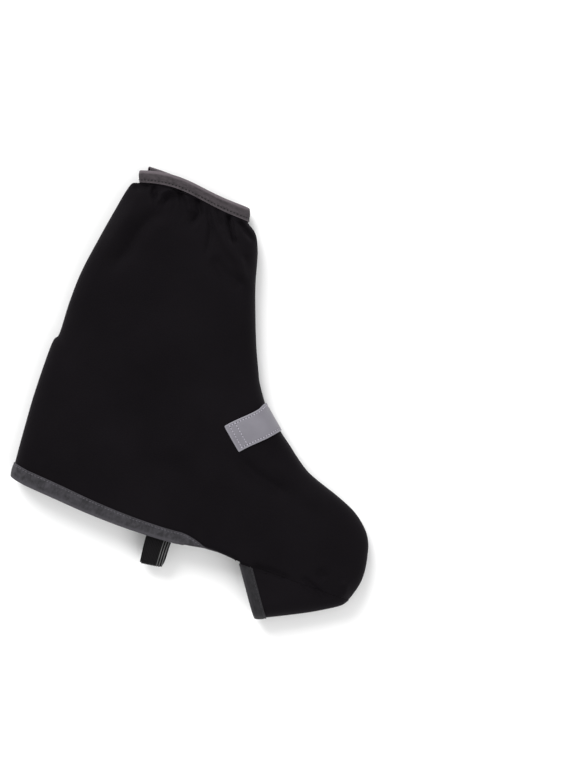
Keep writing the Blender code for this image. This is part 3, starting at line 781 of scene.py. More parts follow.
def finish_tree(tree, geometry, finish, result):
    """Ends a tree in real geometry that carries its material."""
    real = add_node(tree, "GeometryNodeRealizeInstances", {"Geometry": geometry})
    smooth = add_node(tree, "GeometryNodeSetShadeSmooth", {"Geometry": real.outputs[0]})
    painted = add_node(tree, "GeometryNodeSetMaterial",
                       {"Geometry": smooth.outputs[0], "Material": finish})
    tree.links.new(painted.outputs[0], result)


def stitch_tree():
    """Stitches of one length, laid end to end along every path with a gap between them."""
    tree, given, result = new_tree(
        "stitches along a seam", "GeometryNodeTree",
        [("Seam", "Geometry", None), ("Pitch", "Float", 0.0024), ("Stitch length", "Float", 0.0017),
         ("Thread width", "Float", 0.0005), ("Thread", "Material", None)],
        [("Stitches", "Geometry")])
    curve = add_node(tree, "GeometryNodeMeshToCurve", {0: given["Seam"]})
    spaced = add_node(tree, "GeometryNodeResampleCurve",
                      {"Curve": curve.outputs[0], "Length": given["Pitch"]}, mode="LENGTH")
    bead = add_node(tree, "GeometryNodeMeshUVSphere", {"Segments": 6, "Rings": 5, "Radius": 0.5})
    size = add_node(tree, "ShaderNodeCombineXYZ",
                    {"X": given["Thread width"], "Y": given["Thread width"], "Z": given["Stitch length"]})
    tangent = add_node(tree, "GeometryNodeInputTangent")
    turn = add_node(tree, "FunctionNodeAlignRotationToVector", {"Vector": tangent.outputs[0]}, axis="Z")
    laid = add_node(tree, "GeometryNodeInstanceOnPoints",
                    {"Points": spaced.outputs[0], "Instance": bead.outputs["Mesh"],
                     "Rotation": turn.outputs[0], "Scale": size.outputs[0]})
    finish_tree(tree, laid.outputs[0], given["Thread"], result["Stitches"])
    return tree


def rib_tree():
    """A round cord along every path: the ribs of a webbing."""
    tree, given, result = new_tree(
        "ribs along a webbing", "GeometryNodeTree",
        [("Paths", "Geometry", None), ("Rib width", "Float", 0.0009), ("Yarn", "Material", None)],
        [("Ribs", "Geometry")])
    curve = add_node(tree, "GeometryNodeMeshToCurve", {0: given["Paths"]})
    ring = add_node(tree, "GeometryNodeCurvePrimitiveCircle", {"Resolution": 7, "Radius": 0.5})
    size = add_node(tree, "ShaderNodeCombineXYZ",
                    {"X": given["Rib width"], "Y": given["Rib width"], "Z": 1.0})
    sized = add_node(tree, "GeometryNodeTransform",
                     {"Geometry": ring.outputs["Curve"], "Scale": size.outputs[0]})
    cord = add_node(tree, "GeometryNodeCurveToMesh",
                    {"Curve": curve.outputs[0], "Profile Curve": sized.outputs[0], "Fill Caps": True})
    finish_tree(tree, cord.outputs[0], given["Yarn"], result["Ribs"])
    return tree


def along_paths(name, tree, paths, **inputs):
    """Runs a node tree over paths and returns the result as a plain mesh piece."""
    guide = polyline_mesh(name + "_path", paths)
    modifier = guide.modifiers.new("path", "NODES")
    modifier.node_group = tree
    sockets = {item.name: item.identifier for item in tree.interface.items_tree
               if item.item_type == "SOCKET" and item.in_out == "INPUT"}
    for label, value in inputs.items():
        modifier[sockets[label.replace("_", " ")]] = value
    graph = bpy.context.evaluated_depsgraph_get()
    data = bpy.data.meshes.new_from_object(guide.evaluated_get(graph))
    data.name = name
    bpy.data.objects.remove(guide)
    return add_object(name, data)


# ---- shared effects of the materials ---------------------------------------------------------
def maths(tree, operation, first, second=None, third=None):
    values = {k: v for k, v in enumerate((first, second, third)) if v is not None}
    return add_node(tree, "ShaderNodeMath", values, operation=operation).outputs[0]


def scaled(tree, value, factor, start):
    """value * factor + start"""
    return maths(tree, "MULTIPLY_ADD", value, factor, start)


def product(tree, first, second):
    return maths(tree, "MULTIPLY", first, second)


def noise(tree, place, scale, detail=3.0):
    return add_node(tree, "ShaderNodeTexNoise",
                    {"Vector": place, "Scale": scale, "Detail": detail}).outputs["Fac"]


def dots(tree, place, scale):
    """Distance from the nearest of many scattered points."""
    return add_node(tree, "ShaderNodeTexVoronoi", {"Vector": place, "Scale": scale}).outputs["Distance"]


def mixed(tree, factor, first, second):
    """Two colours mixed; a Mix node has its colours at inputs 6 and 7 and at output 2."""
    return add_node(tree, "ShaderNodeMix", {"Factor": factor, 6: first, 7: second},
                    data_type="RGBA").outputs[2]


def weave_effect():
    """Over-and-under threads of a plain weave, as a height from 0 to 1."""
    tree, given, result = new_tree(
        "plain weave", "ShaderNodeTree",
        [("Place", "Vector", (0, 0, 0)), ("Warp per metre", "Float", 1500.0),
         ("Weft per metre", "Float", 1500.0)],
        [("Height", "Float")])
    axes = add_node(tree, "ShaderNodeSeparateXYZ", {0: given["Place"]}).outputs
    warp, weft = [maths(tree, "SINE", product(tree, product(tree, axes[axis], given[threads]), 2 * math.pi))
                  for axis, threads in (("X", "Warp per metre"), ("Y", "Weft per metre"))]
    tree.links.new(scaled(tree, product(tree, warp, weft), 0.5, 0.5), result["Height"])
    return tree


def tone_effect():
    """Two colours mixed in soft patches and fine fibres, with a painted highlight along the edges."""
    tree, given, result = new_tree(
        "tone with edge highlight", "ShaderNodeTree",
        [("Place", "Vector", (0, 0, 0)), ("Dark", "Color", (0, 0, 0, 1)),
         ("Light", "Color", (1, 1, 1, 1)), ("Edge colour", "Color", (1, 1, 1, 1)),
         ("Patches per metre", "Float", 18.0), ("Fibres per metre", "Float", 900.0),
         ("Edge", "Float", 0.0), ("Edge wear", "Float", 0.5)],
        [("Colour", "Color"), ("Mottle", "Float")])
    patches = noise(tree, given["Place"], given["Patches per metre"])
    fibres = noise(tree, given["Place"], given["Fibres per metre"], 2.0)
    both = maths(tree, "MULTIPLY_ADD", patches, 0.55, product(tree, fibres, 0.45))
    spread = add_node(tree, "ShaderNodeMapRange",
                      {"Value": both, "From Min": 0.36, "From Max": 0.64}).outputs[0]
    base = mixed(tree, spread, given["Dark"], given["Light"])
    # Painted highlight: where the edge mask is set, a lighter colour is mixed in along the rounded edges,
    # flecked by the fibres.
    painted_highlight = product(tree, product(tree, given["Edge"], given["Edge wear"]), scaled(tree, fibres, 0.8, 0.6))
    tree.links.new(mixed(tree, painted_highlight, base, given["Edge colour"]), result["Colour"])
    tree.links.new(spread, result["Mottle"])
    return tree


def pile_effect():
    """Short loops or hooks standing close together."""
    tree, given, result = new_tree(
        "pile", "ShaderNodeTree",
        [("Place", "Vector", (0, 0, 0)), ("Loops per metre", "Float", 1400.0)],
        [("Height", "Float"), ("Shade", "Float")])
    gaps = dots(tree, given["Place"], given["Loops per metre"])
    fuzz = noise(tree, given["Place"], given["Loops per metre"], 4.0)
    tree.links.new(product(tree, maths(tree, "SUBTRACT", 1.0, gaps), fuzz), result["Height"])
    tree.links.new(scaled(tree, fuzz, 0.6, 0.2), result["Shade"])
    return tree


WEAVE = weave_effect()
TONE = tone_effect()
PILE = pile_effect()
STITCHES = stitch_tree()
RIBS = rib_tree()


# ---- materials -------------------------------------------------------------------------------
def grey(value, tint=PLAIN):
    """A linear colour from one brightness and a slight tint."""
    return (*(value * share for share in tint), 1.0)


def new_material(name, roughness, specular, sheen=0.0, tint=PLAIN):
    made = bpy.data.materials.new(name)
    made.use_nodes = True
    shader = made.node_tree.nodes["Principled BSDF"]
    for label, value in (("Roughness", roughness), ("Metallic", 0.0), ("Specular IOR Level", specular),
                         ("Sheen Weight", sheen), ("Sheen Roughness", 0.45),
                         ("Sheen Tint", (*tint, 1.0)), ("Specular Tint", (*tint, 1.0))):
        shader.inputs[label].default_value = value
    return made, made.node_tree, shader


def coat(tree, shader, colour, surface, rough=None):
    """Joins a material's colour, surface and roughness to its shader."""
    tree.links.new(colour, shader.inputs["Base Color"])
    tree.links.new(surface, shader.inputs["Normal"])
    if rough is not None:
        tree.links.new(rough, shader.inputs["Roughness"])


def use_effect(tree, group, **values):
    node = tree.nodes.new("ShaderNodeGroup")
    node.node_tree = group
    for label, value in values.items():
        feed(tree, node.inputs[label.replace("_", " ")], value)
    return node.outputs


def cloth_map(tree):
    return add_node(tree, "ShaderNodeUVMap", uv_map="cloth").outputs[0]


# The edge mask carries a painted highlight along the edges of tapes, ribbons and the loop.
def painted_edge_highlight(tree):
    return add_node(tree, "ShaderNodeAttribute", attribute_name="edge").outputs["Fac"]


def bump(tree, height, distance, strength, under=None):
    links = {"Height": height, "Distance": distance, "Strength": strength}
    if under is not None:
        links["Normal"] = under
    return add_node(tree, "ShaderNodeBump", links).outputs[0]


def softshell():
    """Black stretch softshell: a fine matt weave with a faint pucker."""
    made, tree, shader = new_material("softshell", 0.72, 0.035, sheen=0.026, tint=VIOLET)
    place = cloth_map(tree)
    tone = use_effect(tree, TONE, Place=place, Dark=grey(0.0027, VIOLET),
                      Light=grey(0.0050, VIOLET), Patches_per_metre=14.0,
                      Fibres_per_metre=1300.0)
    weave = use_effect(tree, WEAVE, Place=place, Warp_per_metre=900.0, Weft_per_metre=760.0)
    pucker = bump(tree, noise(tree, place, 120.0), distance=0.0004, strength=0.5)
    coat(tree, shader, tone["Colour"],
         bump(tree, weave["Height"], distance=0.00012, strength=0.7, under=pucker),
         scaled(tree, tone["Mottle"], 0.08, 0.68))
    return made


def tape(name, dark, light, edge, tint, specular=0.2, sheen=0.05):
    """Knitted edge tape, paler along its edges: a painted highlight."""
    made, tree, shader = new_material(name, 0.8, specular, sheen)
    place = cloth_map(tree)
    streaked = add_node(tree, "ShaderNodeMapping", {"Vector": place, "Scale": TAPE_STREAKS}).outputs[0]
    tone = use_effect(tree, TONE, Place=streaked, Dark=grey(dark, tint), Light=grey(light, tint),
                      Edge_colour=grey(edge, tint), Patches_per_metre=330.0,
                      Fibres_per_metre=900.0, Edge=painted_edge_highlight(tree), Edge_wear=0.8)
    knit = use_effect(tree, WEAVE, Place=place, Warp_per_metre=700.0, Weft_per_metre=950.0)
    # Painted shade: the colour is darkened towards a darker grey in the hollows between the knit's threads.
    knit_gap_shade = scaled(tree, knit["Height"], -0.3, 0.3)
    fuzz = bump(tree, noise(tree, place, 420.0), distance=0.0003, strength=0.4)
    coat(tree, shader, mixed(tree, knit_gap_shade, tone["Colour"], grey(dark * 0.45, tint)),
         bump(tree, knit["Height"], distance=0.0002, strength=0.8, under=fuzz),
         scaled(tree, tone["Mottle"], 0.1, 0.74))
    return made


def reflective():
    """Silver-grey reflective tape: glass beads on cloth, a fine even grain, painted paler along its edges as
    a painted highlight.
    """
    made, tree, shader = new_material("reflective_tape", 0.5, 0.45)
    place = cloth_map(tree)
    tone = use_effect(tree, TONE, Place=place, Dark=grey(0.138, SILVER), Light=grey(0.166, SILVER),
                      Edge_colour=grey(0.30, PALE_SILVER), Patches_per_metre=60.0,
                      Fibres_per_metre=2600.0, Edge=painted_edge_highlight(tree), Edge_wear=0.5)
    uneven = bump(tree, noise(tree, place, 260.0), distance=0.0002, strength=0.3)
    coat(tree, shader, tone["Colour"],
         bump(tree, dots(tree, place, 3200.0), distance=0.00006, strength=0.5, under=uneven),
         scaled(tree, tone["Mottle"], 0.12, 0.42))
    return made


def pile(name, loops, dark, light):
    """Black hook-and-loop tape."""
    made, tree, shader = new_material(name, 0.95, 0.1, sheen=0.08)
    stand = use_effect(tree, PILE, Place=cloth_map(tree), Loops_per_metre=loops)
    coat(tree, shader, mixed(tree, stand["Shade"], grey(dark), grey(light)),
         bump(tree, stand["Height"], distance=0.0005, strength=0.9))
    return made


def yarn(name, value, tint=PLAIN, specular=0.25):
    """Twisted sewing thread or webbing yarn; it has no cloth map, so it reads its own place."""
    made, tree, shader = new_material(name, 0.7, specular)
    place = add_node(tree, "ShaderNodeTexCoord").outputs["Object"]
    tone = use_effect(tree, TONE, Place=place, Dark=grey(value * 0.8, tint),
                      Light=grey(value * 1.2, tint), Patches_per_metre=120.0,
                      Fibres_per_metre=2400.0)
    coat(tree, shader, tone["Colour"], bump(tree, noise(tree, place, 2600.0), distance=0.0001, strength=0.6))
    return made


SOFTSHELL = softshell()
# The third value of each tape is the colour of its painted edge highlight.
TOP_TAPE = tape("top_binding_tape", 0.024, 0.056, 0.125, WARM)
HEM_TAPE = tape("hem_binding_tape", 0.015, 0.050, 0.060, COOL)
TOE_TAPE = tape("toe_binding_tape", 0.008, 0.022, 0.028, COOL)
ELASTIC = tape("elastic_webbing", 0.0025, 0.0050, 0.0080, VIOLET, specular=0.05, sheen=0.03)
REFLECTIVE = reflective()
LOOP_PILE = pile("loop_pile", 1500.0, dark=0.0025, light=0.0075)
HOOK_PILE = pile("hook_pile", 900.0, dark=0.0020, light=0.0060)
# Near-black: painted shade, for the dark dots of needle holes along the leg binding and the gaps between the
# strap's stitches.
DARK_STITCH_SHADE = yarn("dark_stitch_shade", 0.006)
HEM_THREAD = yarn("hem_thread", 0.095, COOL)
TOE_THREAD = yarn("toe_thread", 0.030, COOL)
STRAP_THREAD = yarn("strap_thread", 0.40, COOL)
BLACK_YARN = yarn("black_yarn", 0.005, VIOLET, specular=0.15)
PALE_YARN = yarn("pale_yarn", 0.085)


# ---- panels ----------------------------------------------------------------------------------
def fold_grid(plan):
    """Distance and direction from the nearest fold line, over a grid of plan points."""
    distance, inward = nearest_fold(plan.reshape(-1, 2))
    return distance.reshape(plan.shape[:2]), inward.reshape(plan.shape)


side_fold = fold_grid(side_plan)
side_cloth = flat_cloth(side_plan, side_fold)
sole_fold = fold_grid(sole_plan)
BACK_ROLL = len(ROLL_ANGLES)
FLAP_COLUMN = BACK_ROLL - 1 + MIDDLE_STRIPS // FLAP_SHARE
ROWS = len(side_plan)


def toe_seam_dip(plan):
    """The face turned into the seam between a side panel and the toe sole."""
    distance = nearest(plan.reshape(-1, 2), toe_seam)[0]
    return seam_dip(distance).reshape(plan.shape[:-1])


def medial_panel():
    """Inner side of the foot and leg: the wall that lies uppermost."""
    outer = skin(side_plan, UPPER, toe_seam_dip(side_plan), side_fold, 1.0)
    inner = skin(side_plan, UPPER, CLOTH, side_fold)
    return wall("medial_softshell", SOFTSHELL, outer, inner, side_cloth)


def slit_share():
    """1 for the rows beside the back slit, falling to 0 below its notch."""
    return 1 - smooth_step(NOTCH, NOTCH_END, np.arange(ROWS))[:, None]


def lateral_panel():
    """Outer side: lies on the floor, and above the notch laps on under the upper wall."""
    back = np.arange(COLUMNS) < BACK_ROLL
    tucked = slit_share() * back * (1 - np.minimum(side_fold[0] / ROLL, 1))
    sewn = 1 - slit_share() * back
    outer = skin(side_plan, LOWER, TUCK * tucked + toe_seam_dip(side_plan), side_fold, sewn)
    inner = skin(side_plan, LOWER, TUCK * tucked + CLOTH, side_fold)
    flap = slice(FLAP_COLUMN, 0, -1)
    flap_fold = (side_fold[0][:, flap], side_fold[1][:, flap])
    lap_outer = skin(side_plan[:, flap], UPPER, TUCK, flap_fold)
    lap_inner = skin(side_plan[:, flap], UPPER, TUCK + CLOTH, flap_fold)
    keep = np.ones((ROWS - 1, FLAP_COLUMN + COLUMNS - 1), bool)
    keep[:FLAP_TOP, :FLAP_COLUMN] = False
    keep[NOTCH:, :FLAP_COLUMN] = False
    return wall("lateral_softshell", SOFTSHELL, np.hstack([lap_outer, outer]),
                np.hstack([lap_inner, inner]), np.hstack([side_cloth[:, flap], side_cloth]), keep=keep)


def toe_sole_panel():
    """Half sole under the toes, folded on its middle line: upper half, fold, lower half."""
    def folded(depth):
        upper = skin(sole_plan, UPPER, depth, sole_fold)
        lower = skin(sole_plan, LOWER, depth, sole_fold)
        middle = (upper[:, -1:] + lower[:, -1:]) / 2
        return np.hstack([upper[:, :-1], middle, lower[:, -2::-1]])

    laid = flat_cloth(sole_plan, sole_fold)
    across = np.hstack([laid, 2 * laid[:, -1:] - laid[:, -2::-1]])
    return wall("toe_sole_softshell", SOFTSHELL, folded(toe_seam_dip(sole_plan)), folded(CLOTH), across)


def back_closure_tape():
    """Hook-and-loop tape between the upper wall and the flap behind the leg."""
    rows = slice(FLAP_TOP + CLOSURE_MARGIN, NOTCH - CLOSURE_MARGIN)
    columns = slice(CLOSURE_COLUMN, FLAP_COLUMN - 1)
    plan = side_plan[rows, columns]
    fold = (side_fold[0][rows, columns], side_fold[1][rows, columns])
    return wall("closure_tape", LOOP_PILE, skin(plan, UPPER, CLOTH + LAYER_GAP, fold),
                skin(plan, UPPER, TUCK - LAYER_GAP, fold), side_cloth[rows, columns])


# ---- edge bindings ---------------------------------------------------------------------------
Band = namedtuple("Band", "place cover width stitch_in puff")


def tape_thickness(run, leg, band):
    """A tape's thickness `run` in from the edge: puffed, drawn down at the stitches, thin-edged."""
    rest = leg - run
    edge = np.clip(1 - rest / TAPE_ROUND, 0, 1)
    puff = band.puff * np.sin(math.pi * np.clip(run / np.maximum(leg - band.stitch_in, 0.5), 0, 1))
    drawn = TAPE_DRAWN * np.exp(-((rest - band.stitch_in) / TAPE_DRAWN_WIDTH) ** 2)
    drawn *= leg > 2 * band.stitch_in
    return (BAND_TAPE + puff - drawn) * np.sqrt(np.maximum(1 - edge ** 2, 0.01))


def cloth_grid(along, across):
    """A cloth map from the distances along and across a piece."""
    return np.stack(np.broadcast_arrays(along[:, None], across[None]), axis=-1)


def binding(name, finish, band):
    """A tape folded over an edge: outer leg, turn round the edge, inner leg.

    band.place(run, depth) gives the points `run` in from the edge at every station.
    """
    beyond = unit(band.place(0.0, CLOTH / 2) - band.place(2.0, CLOTH / 2))
    outer, inner, mask = [], [], []

    def leg(width, face, side_depth, order):
        for share in order:
            run = width * (1 - share)
            thick = BAND_GAP + tape_thickness(run, width, band)
            outer.append(band.place(run, face + side_depth * thick))
            inner.append(band.place(run, face + side_depth * BAND_GAP))
            # Edge mask for the painted highlight, fading in from the free edge and from the turn.
            mask.append(max(1 - share / FREE_EDGE_HIGHLIGHT, 1 - (1 - share) / TURN_HIGHLIGHT, 0.0))

    leg(band.cover, 0.0, -1, LEG_SHARES)
    for angle in TAPE_TURN:
        for rows, radius in ((outer, CLOTH / 2 + BAND_GAP + BAND_TAPE), (inner, CLOTH / 2 + BAND_GAP)):
            rows.append(band.place(0.0, CLOTH / 2 - radius * math.cos(angle))
                        + beyond * radius * math.sin(angle))
        # the turn itself gets the full painted highlight
        mask.append(1.0)
    leg(np.full_like(band.cover, band.width), CLOTH, 1, LEG_SHARES[::-1])
    outer, inner = np.stack(outer, axis=1), np.stack(inner, axis=1)
    along = np.cumsum(np.linalg.norm(np.diff(outer[:, 5], axis=0, prepend=outer[:1, 5]), axis=1))
    across = np.cumsum(np.linalg.norm(np.diff(outer[0], axis=0, prepend=outer[0, :1]), axis=1))
    return wall(name, finish, outer, inner, cloth_grid(along, across), np.array(mask))


def stitch_lines(band):
    """The seam of a binding, as it shows on its outer leg and on its inner leg."""
    run = band.cover - band.stitch_in
    thick = BAND_GAP + tape_thickness(run, band.cover, band) - STITCH_SUNK
    inner_run = band.width - band.stitch_in
    return [band.place(run, -thick), band.place(inner_run, CLOTH + thick)]


def joined(parts):
    """One place function over several stretches of stations; parts are (count, place)."""
    counts = [count for count, _ in parts]
    cuts = np.cumsum(counts)[:-1]

    def place(run, depth):
        runs = np.split(np.broadcast_to(run, sum(counts)), cuts)
        depths = np.split(np.broadcast_to(depth, sum(counts)), cuts)
        return np.concatenate([part(r, d) for (_, part), r, d in zip(parts, runs, depths)])
    return place


def even_band(parts, width, stitch_in, puff):
    """A binding whose outer leg shows the same width all along."""
    stations = sum(count for count, _ in parts)
    return Band(joined(parts), np.full(stations, width), width, stitch_in, puff)


def between_rows(plan, fold, last, width, side, tuck=0.0):
    """Stations that run from the first row of a panel's grid towards a later one."""
    def place(run, depth):
        share = run / width
        far = share[:, None]
        distance = fold[0][0] * (1 - share) + fold[0][last] * share
        inward = unit(fold[1][0] * (1 - far) + fold[1][last] * far)
        return skin(plan[0] * (1 - far) + plan[last] * far, side, depth + tuck, (distance, inward))
    return len(plan[0]), place


def picked(plan, fold, columns):
    return plan[:, columns], (fold[0][:, columns], fold[1][:, columns])


def top_band():
    """Elastic binding round the leg opening, from one side of the back slit to the other."""
    parts = []
    for side, columns in ((UPPER, np.arange(TOP_BAND_START, COLUMNS)),
                          (LOWER, np.arange(COLUMNS - 2, TOP_BAND_START - 1, -1))):
        plan, fold = picked(side_plan, side_fold, columns)
        near_back = (columns < BACK_ROLL) & (side == LOWER)
        tuck = TUCK * near_back * (1 - np.minimum(fold[0][0] / ROLL, 1))
        parts.append(between_rows(plan, fold, BAND_ROW, TOP_BAND, side, tuck))
    return even_band(parts, TOP_BAND, stitch_in=2.7, puff=0.35)


def hem_cover(x):
    """Outer leg of the hem binding: less of it shows towards the arch, and its end is narrow."""
    arch = HEM_BAND - HEM_NARROWS * smooth_step(*HEM_NARROWS_FROM, x)
    return arch - (arch - HEM_END_COVER) * smooth_step(*HEM_END_FROM, x)


def hem_band():
    """Binding of the lower edge, from the arch round the heel to the arch."""
    corner = back_line[-1]
    heel_up = unit(back_line[-4] - corner)
    heel_in = line_normals(back_fold, 1)[-1]
    along_hem = unit(hem_line[foot_counts[0]] - corner)
    hem_x = {section.place: section.back_x for section in FOOT}
    start, end = hem_x["heel tread"], hem_x[HEM_END] - HEM_BAND_STOP
    flat = (hem_edge[:, 0] > start) & (hem_edge[:, 0] < end)
    edge, inward = hem_edge[flat], hem_normals[flat]
    turn = smooth_step(start, start + HEM_TURN, edge[:, 0])[:, None]
    inward = unit(heel_up * (1 - turn) + inward * turn)
    stretch = CURL_REACH / curl_length(curl_share(edge[:, 0]))
    parts = []
    for side in (UPPER, LOWER):
        order = slice(None, None, -1) if side == UPPER else slice(None)
        reach = ROLL_REACH[::-1] if side == UPPER else ROLL_REACH[1:]

        def flat_place(run, depth, side=side, order=order):
            laid = run * stretch[order] if side == UPPER else run
            return skin(edge[order] + inward[order] * laid[:, None], side, depth)

        def ring_place(run, depth, side=side, reach=reach):
            plan = corner + along_hem * reach[:, None] + heel_up * run[:, None]
            return skin(plan, side, depth, (reach, heel_in))
        stretches = [(len(edge), flat_place), (len(reach), ring_place)]
        parts += stretches if side == UPPER else stretches[::-1]
    flat_cover = hem_cover(edge[:, 0])
    ring_cover = np.full(2 * len(ROLL_ANGLES) - 1, HEM_BAND)
    return Band(joined(parts), np.concatenate([flat_cover[::-1], ring_cover, flat_cover]),
                HEM_BAND, stitch_in=1.6, puff=0.3)


def toe_band():
    """Binding across the rear edge of the toe sole, folded with it."""
    parts = []
    last = sole_counts[0]
    width = float(np.linalg.norm(sole_plan[last, 0] - sole_plan[0, 0]))
    columns = np.arange(TOE_BAND_START, sole_plan.shape[1])
    for side, order in ((UPPER, columns), (LOWER, columns[-2::-1])):
        plan, fold = picked(sole_plan, sole_fold, order)
        parts.append(between_rows(plan, fold, last, width, side))
    return even_band(parts, TOE_BAND, stitch_in=1.6, puff=0.3)


# ---- straps, patches and the under-sole loop -------------------------------------------------
def shin_fold(offset):
    """Points of the shin fold line at offsets across the strap."""
    run, across = strap_frame(front_line)
    near = np.abs(run) < SHIN_REACH
    order = np.argsort(across[near])
    return np.stack([np.interp(offset, across[near][order], front_line[near][order, k])
                     for k in (0, 1)], axis=-1)


Ribbon = namedtuple("Ribbon", "runs sides clears width thickness stitch_in")


def strap_ribbon():
    """The reflective strap: sewn end on the inner side, over the shin fold, free outer end."""
    inner = np.concatenate([STRAP_INNER_END - ROUNDED_END,
                            np.linspace(STRAP_INNER_END - RIBBON_END, RIBBON_STRAIGHT, 18)])
    outer = np.concatenate([np.linspace(RIBBON_STRAIGHT, STRAP_OUTER_END - RIBBON_END, 26),
                            STRAP_OUTER_END - ROUNDED_END[::-1]])
    upper = np.concatenate([inner, ROLL_REACH[::-1]])
    lower = np.concatenate([ROLL_REACH[1:], outer])
    runs = np.concatenate([upper, lower])
    sides = np.repeat([UPPER, LOWER], [len(upper), len(lower)])
    full = STRAP_LAYERS - STRAP_TAPE - STRAP_OFF_FLOOR
    stepped = STRAP_CLEAR + (full - STRAP_CLEAR) * smooth_step(*STRAP_STEP, runs)
    clears = np.where(sides == LOWER, stepped, STRAP_CLEAR)
    return Ribbon(runs, sides, clears, STRAP_WIDTH, STRAP_TAPE, STRAP_STITCH_IN)


def patch_ribbon(runs, width, clear):
    """A short flat ribbon on the outer side."""
    start, end = runs
    stations = np.concatenate([start + ROUNDED_END,
                               np.linspace(start + RIBBON_END, end - RIBBON_END, 20),
                               end - ROUNDED_END[::-1]])
    lower, clears = np.full(len(stations), LOWER), np.full(len(stations), clear)
    return Ribbon(stations, lower, clears, width, STRAP_TAPE, PATCH_STITCH_IN)


def bent(offsets, runs, sides):
    """Offsets with the slight sway and flare that the strap takes as it nears the shin fold."""
    reach = np.where(sides == UPPER, STRAP_BEND_TO[UPPER], STRAP_BEND_TO[LOWER])
    sway = 1 - smooth_step(STRAP_BEND_FROM, reach, runs)
    flare = (1 - smooth_step(0, STRAP_BEND_FROM, runs)) * (0.5 - offsets / STRAP_WIDTH)
    return offsets + STRAP_BEND * (sway - flare)


def ribbon_points(ribbon, stations, offsets, depth):
    """Points over a ribbon, `depth` above the face that lies on the cloth."""
    runs, sides = ribbon.runs[stations], ribbon.sides[stations]
    plan = shin_fold(bent(offsets, runs, sides)) + STRAP_ALONG * runs[:, None]
    clear = ribbon.clears[stations] + depth
    upper = skin(plan, UPPER, -clear, (runs, STRAP_ALONG))
    lower = skin(plan, LOWER, -clear, (runs, STRAP_ALONG))
    return np.where((sides == UPPER)[:, None], upper, lower)


def end_distance(ribbon):
    """Distance of every station from the ribbon's nearer end, along the ribbon."""
    travel = np.concatenate([[0.0], np.cumsum(np.abs(np.diff(ribbon.runs)) + 1e-4)])
    return np.minimum(travel, travel[-1] - travel)


def ribbon_piece(name, finish, ribbon):
    """A flat tape with thin rounded edges, drawn down along its stitching."""
    half = ribbon.width / 2
    across = np.concatenate([-half + RIBBON_EDGE,
                             np.linspace(-half + RIBBON_INSIDE, half - RIBBON_INSIDE, 14),
                             (half - RIBBON_EDGE)[::-1]])
    ends = end_distance(ribbon)
    corner = np.clip(1 - ends / ROUNDED_END[-1], 0, 1)
    shrink = 1 - ROUNDED_END[-1] * (1 - np.sqrt(1 - corner ** 2)) / half
    stations = np.arange(len(ribbon.runs))
    outer, inner = [], []
    for offset in across:
        rest = np.minimum(half - abs(offset), ends)
        thin = np.sqrt(np.maximum(1 - np.clip(1 - rest / RIBBON_ROUND, 0, 1) ** 2, 0.05))
        drawn = RIBBON_DRAWN * np.exp(-((rest - ribbon.stitch_in) / RIBBON_DRAWN_WIDTH) ** 2)
        crown = RIBBON_CROWN * (1 - (offset / half) ** 2)
        outer.append(ribbon_points(ribbon, stations, offset * shrink,
                                   ribbon.thickness * thin - drawn + crown))
        inner.append(ribbon_points(ribbon, stations, offset * shrink, 0.0))
    travel = np.concatenate([[0.0], np.cumsum(np.abs(np.diff(ribbon.runs)))])
    rest = np.minimum(half - np.abs(across)[None], ends[:, None])
    # The last argument is the edge mask: a painted highlight along the ribbon's thin rounded edges.
    return wall(name, finish, np.stack(outer, axis=1), np.stack(inner, axis=1),
                cloth_grid(travel, across), np.clip(1 - rest / RIBBON_HIGHLIGHT, 0, 1))


def ribbon_stitches(ribbon, first_row, rows_across):
    """Seams along both edges of a ribbon and across it, rows_across in from its first end."""
    top = ribbon.thickness - RIBBON_DRAWN + RIBBON_CROWN - RIBBON_STITCH_SUNK
    half = ribbon.width / 2 - ribbon.stitch_in
    ends = end_distance(ribbon)
    inside = np.flatnonzero(ends >= ribbon.stitch_in - STITCH_SLACK)

    def station_at(distance):
        return int(np.argmin(np.abs(ends[:len(ends) // 2] - distance)))

    along = inside[inside >= station_at(first_row)]
    paths = [ribbon_points(ribbon, along, offset, top) for offset in (-half, half)]
    for station in [inside[-1]] + [station_at(distance) for distance in rows_across]:
        here = np.array([station])
        paths.append(np.concatenate([ribbon_points(ribbon, here, offset, top + CROSS_STITCH_UP)
                                     for offset in np.linspace(-half, half, CROSS_POINTS)]))
    return paths


def started_later(paths, distance):
    """The same paths without their first stretch, so that what follows them falls between."""
    later = []
    for path in paths:
        travel = travelled(path)
        start = [np.interp(distance, travel, path[:, k]) for k in range(3)]
        later.append(np.vstack([start, path[travel > distance + 0.01]]))
    return later


LoopTurn = namedtuple("LoopTurn", "y z x width slant")

LOOP_ROUTE = [
    LoopTurn(4.0, 19.6, 134.0, 21.6, -1.0),
    LoopTurn(-7.0, 19.6, 134.0, 21.6, 0.0),
    LoopTurn(-17.0, 19.0, 134.3, 20.8, 1.2),
    LoopTurn(-27.0, 17.4, 134.9, 20.2, 2.2),
    LoopTurn(-33.2, 14.6, 135.3, 19.6, 2.8),
    LoopTurn(-35.8, 11.6, 135.5, 19.4, 2.9),
    LoopTurn(-34.6, 8.6, 135.6, 19.6, 2.8),
    LoopTurn(-29.0, 6.6, 135.4, 20.0, 2.2),
    LoopTurn(-18.0, 6.4, 134.8, 20.4, 1.2),
    LoopTurn(-7.0, 6.7, 134.4, 21.2, 0.0),
    LoopTurn(4.0, 7.0, 134.2, 21.2, -1.0),
]


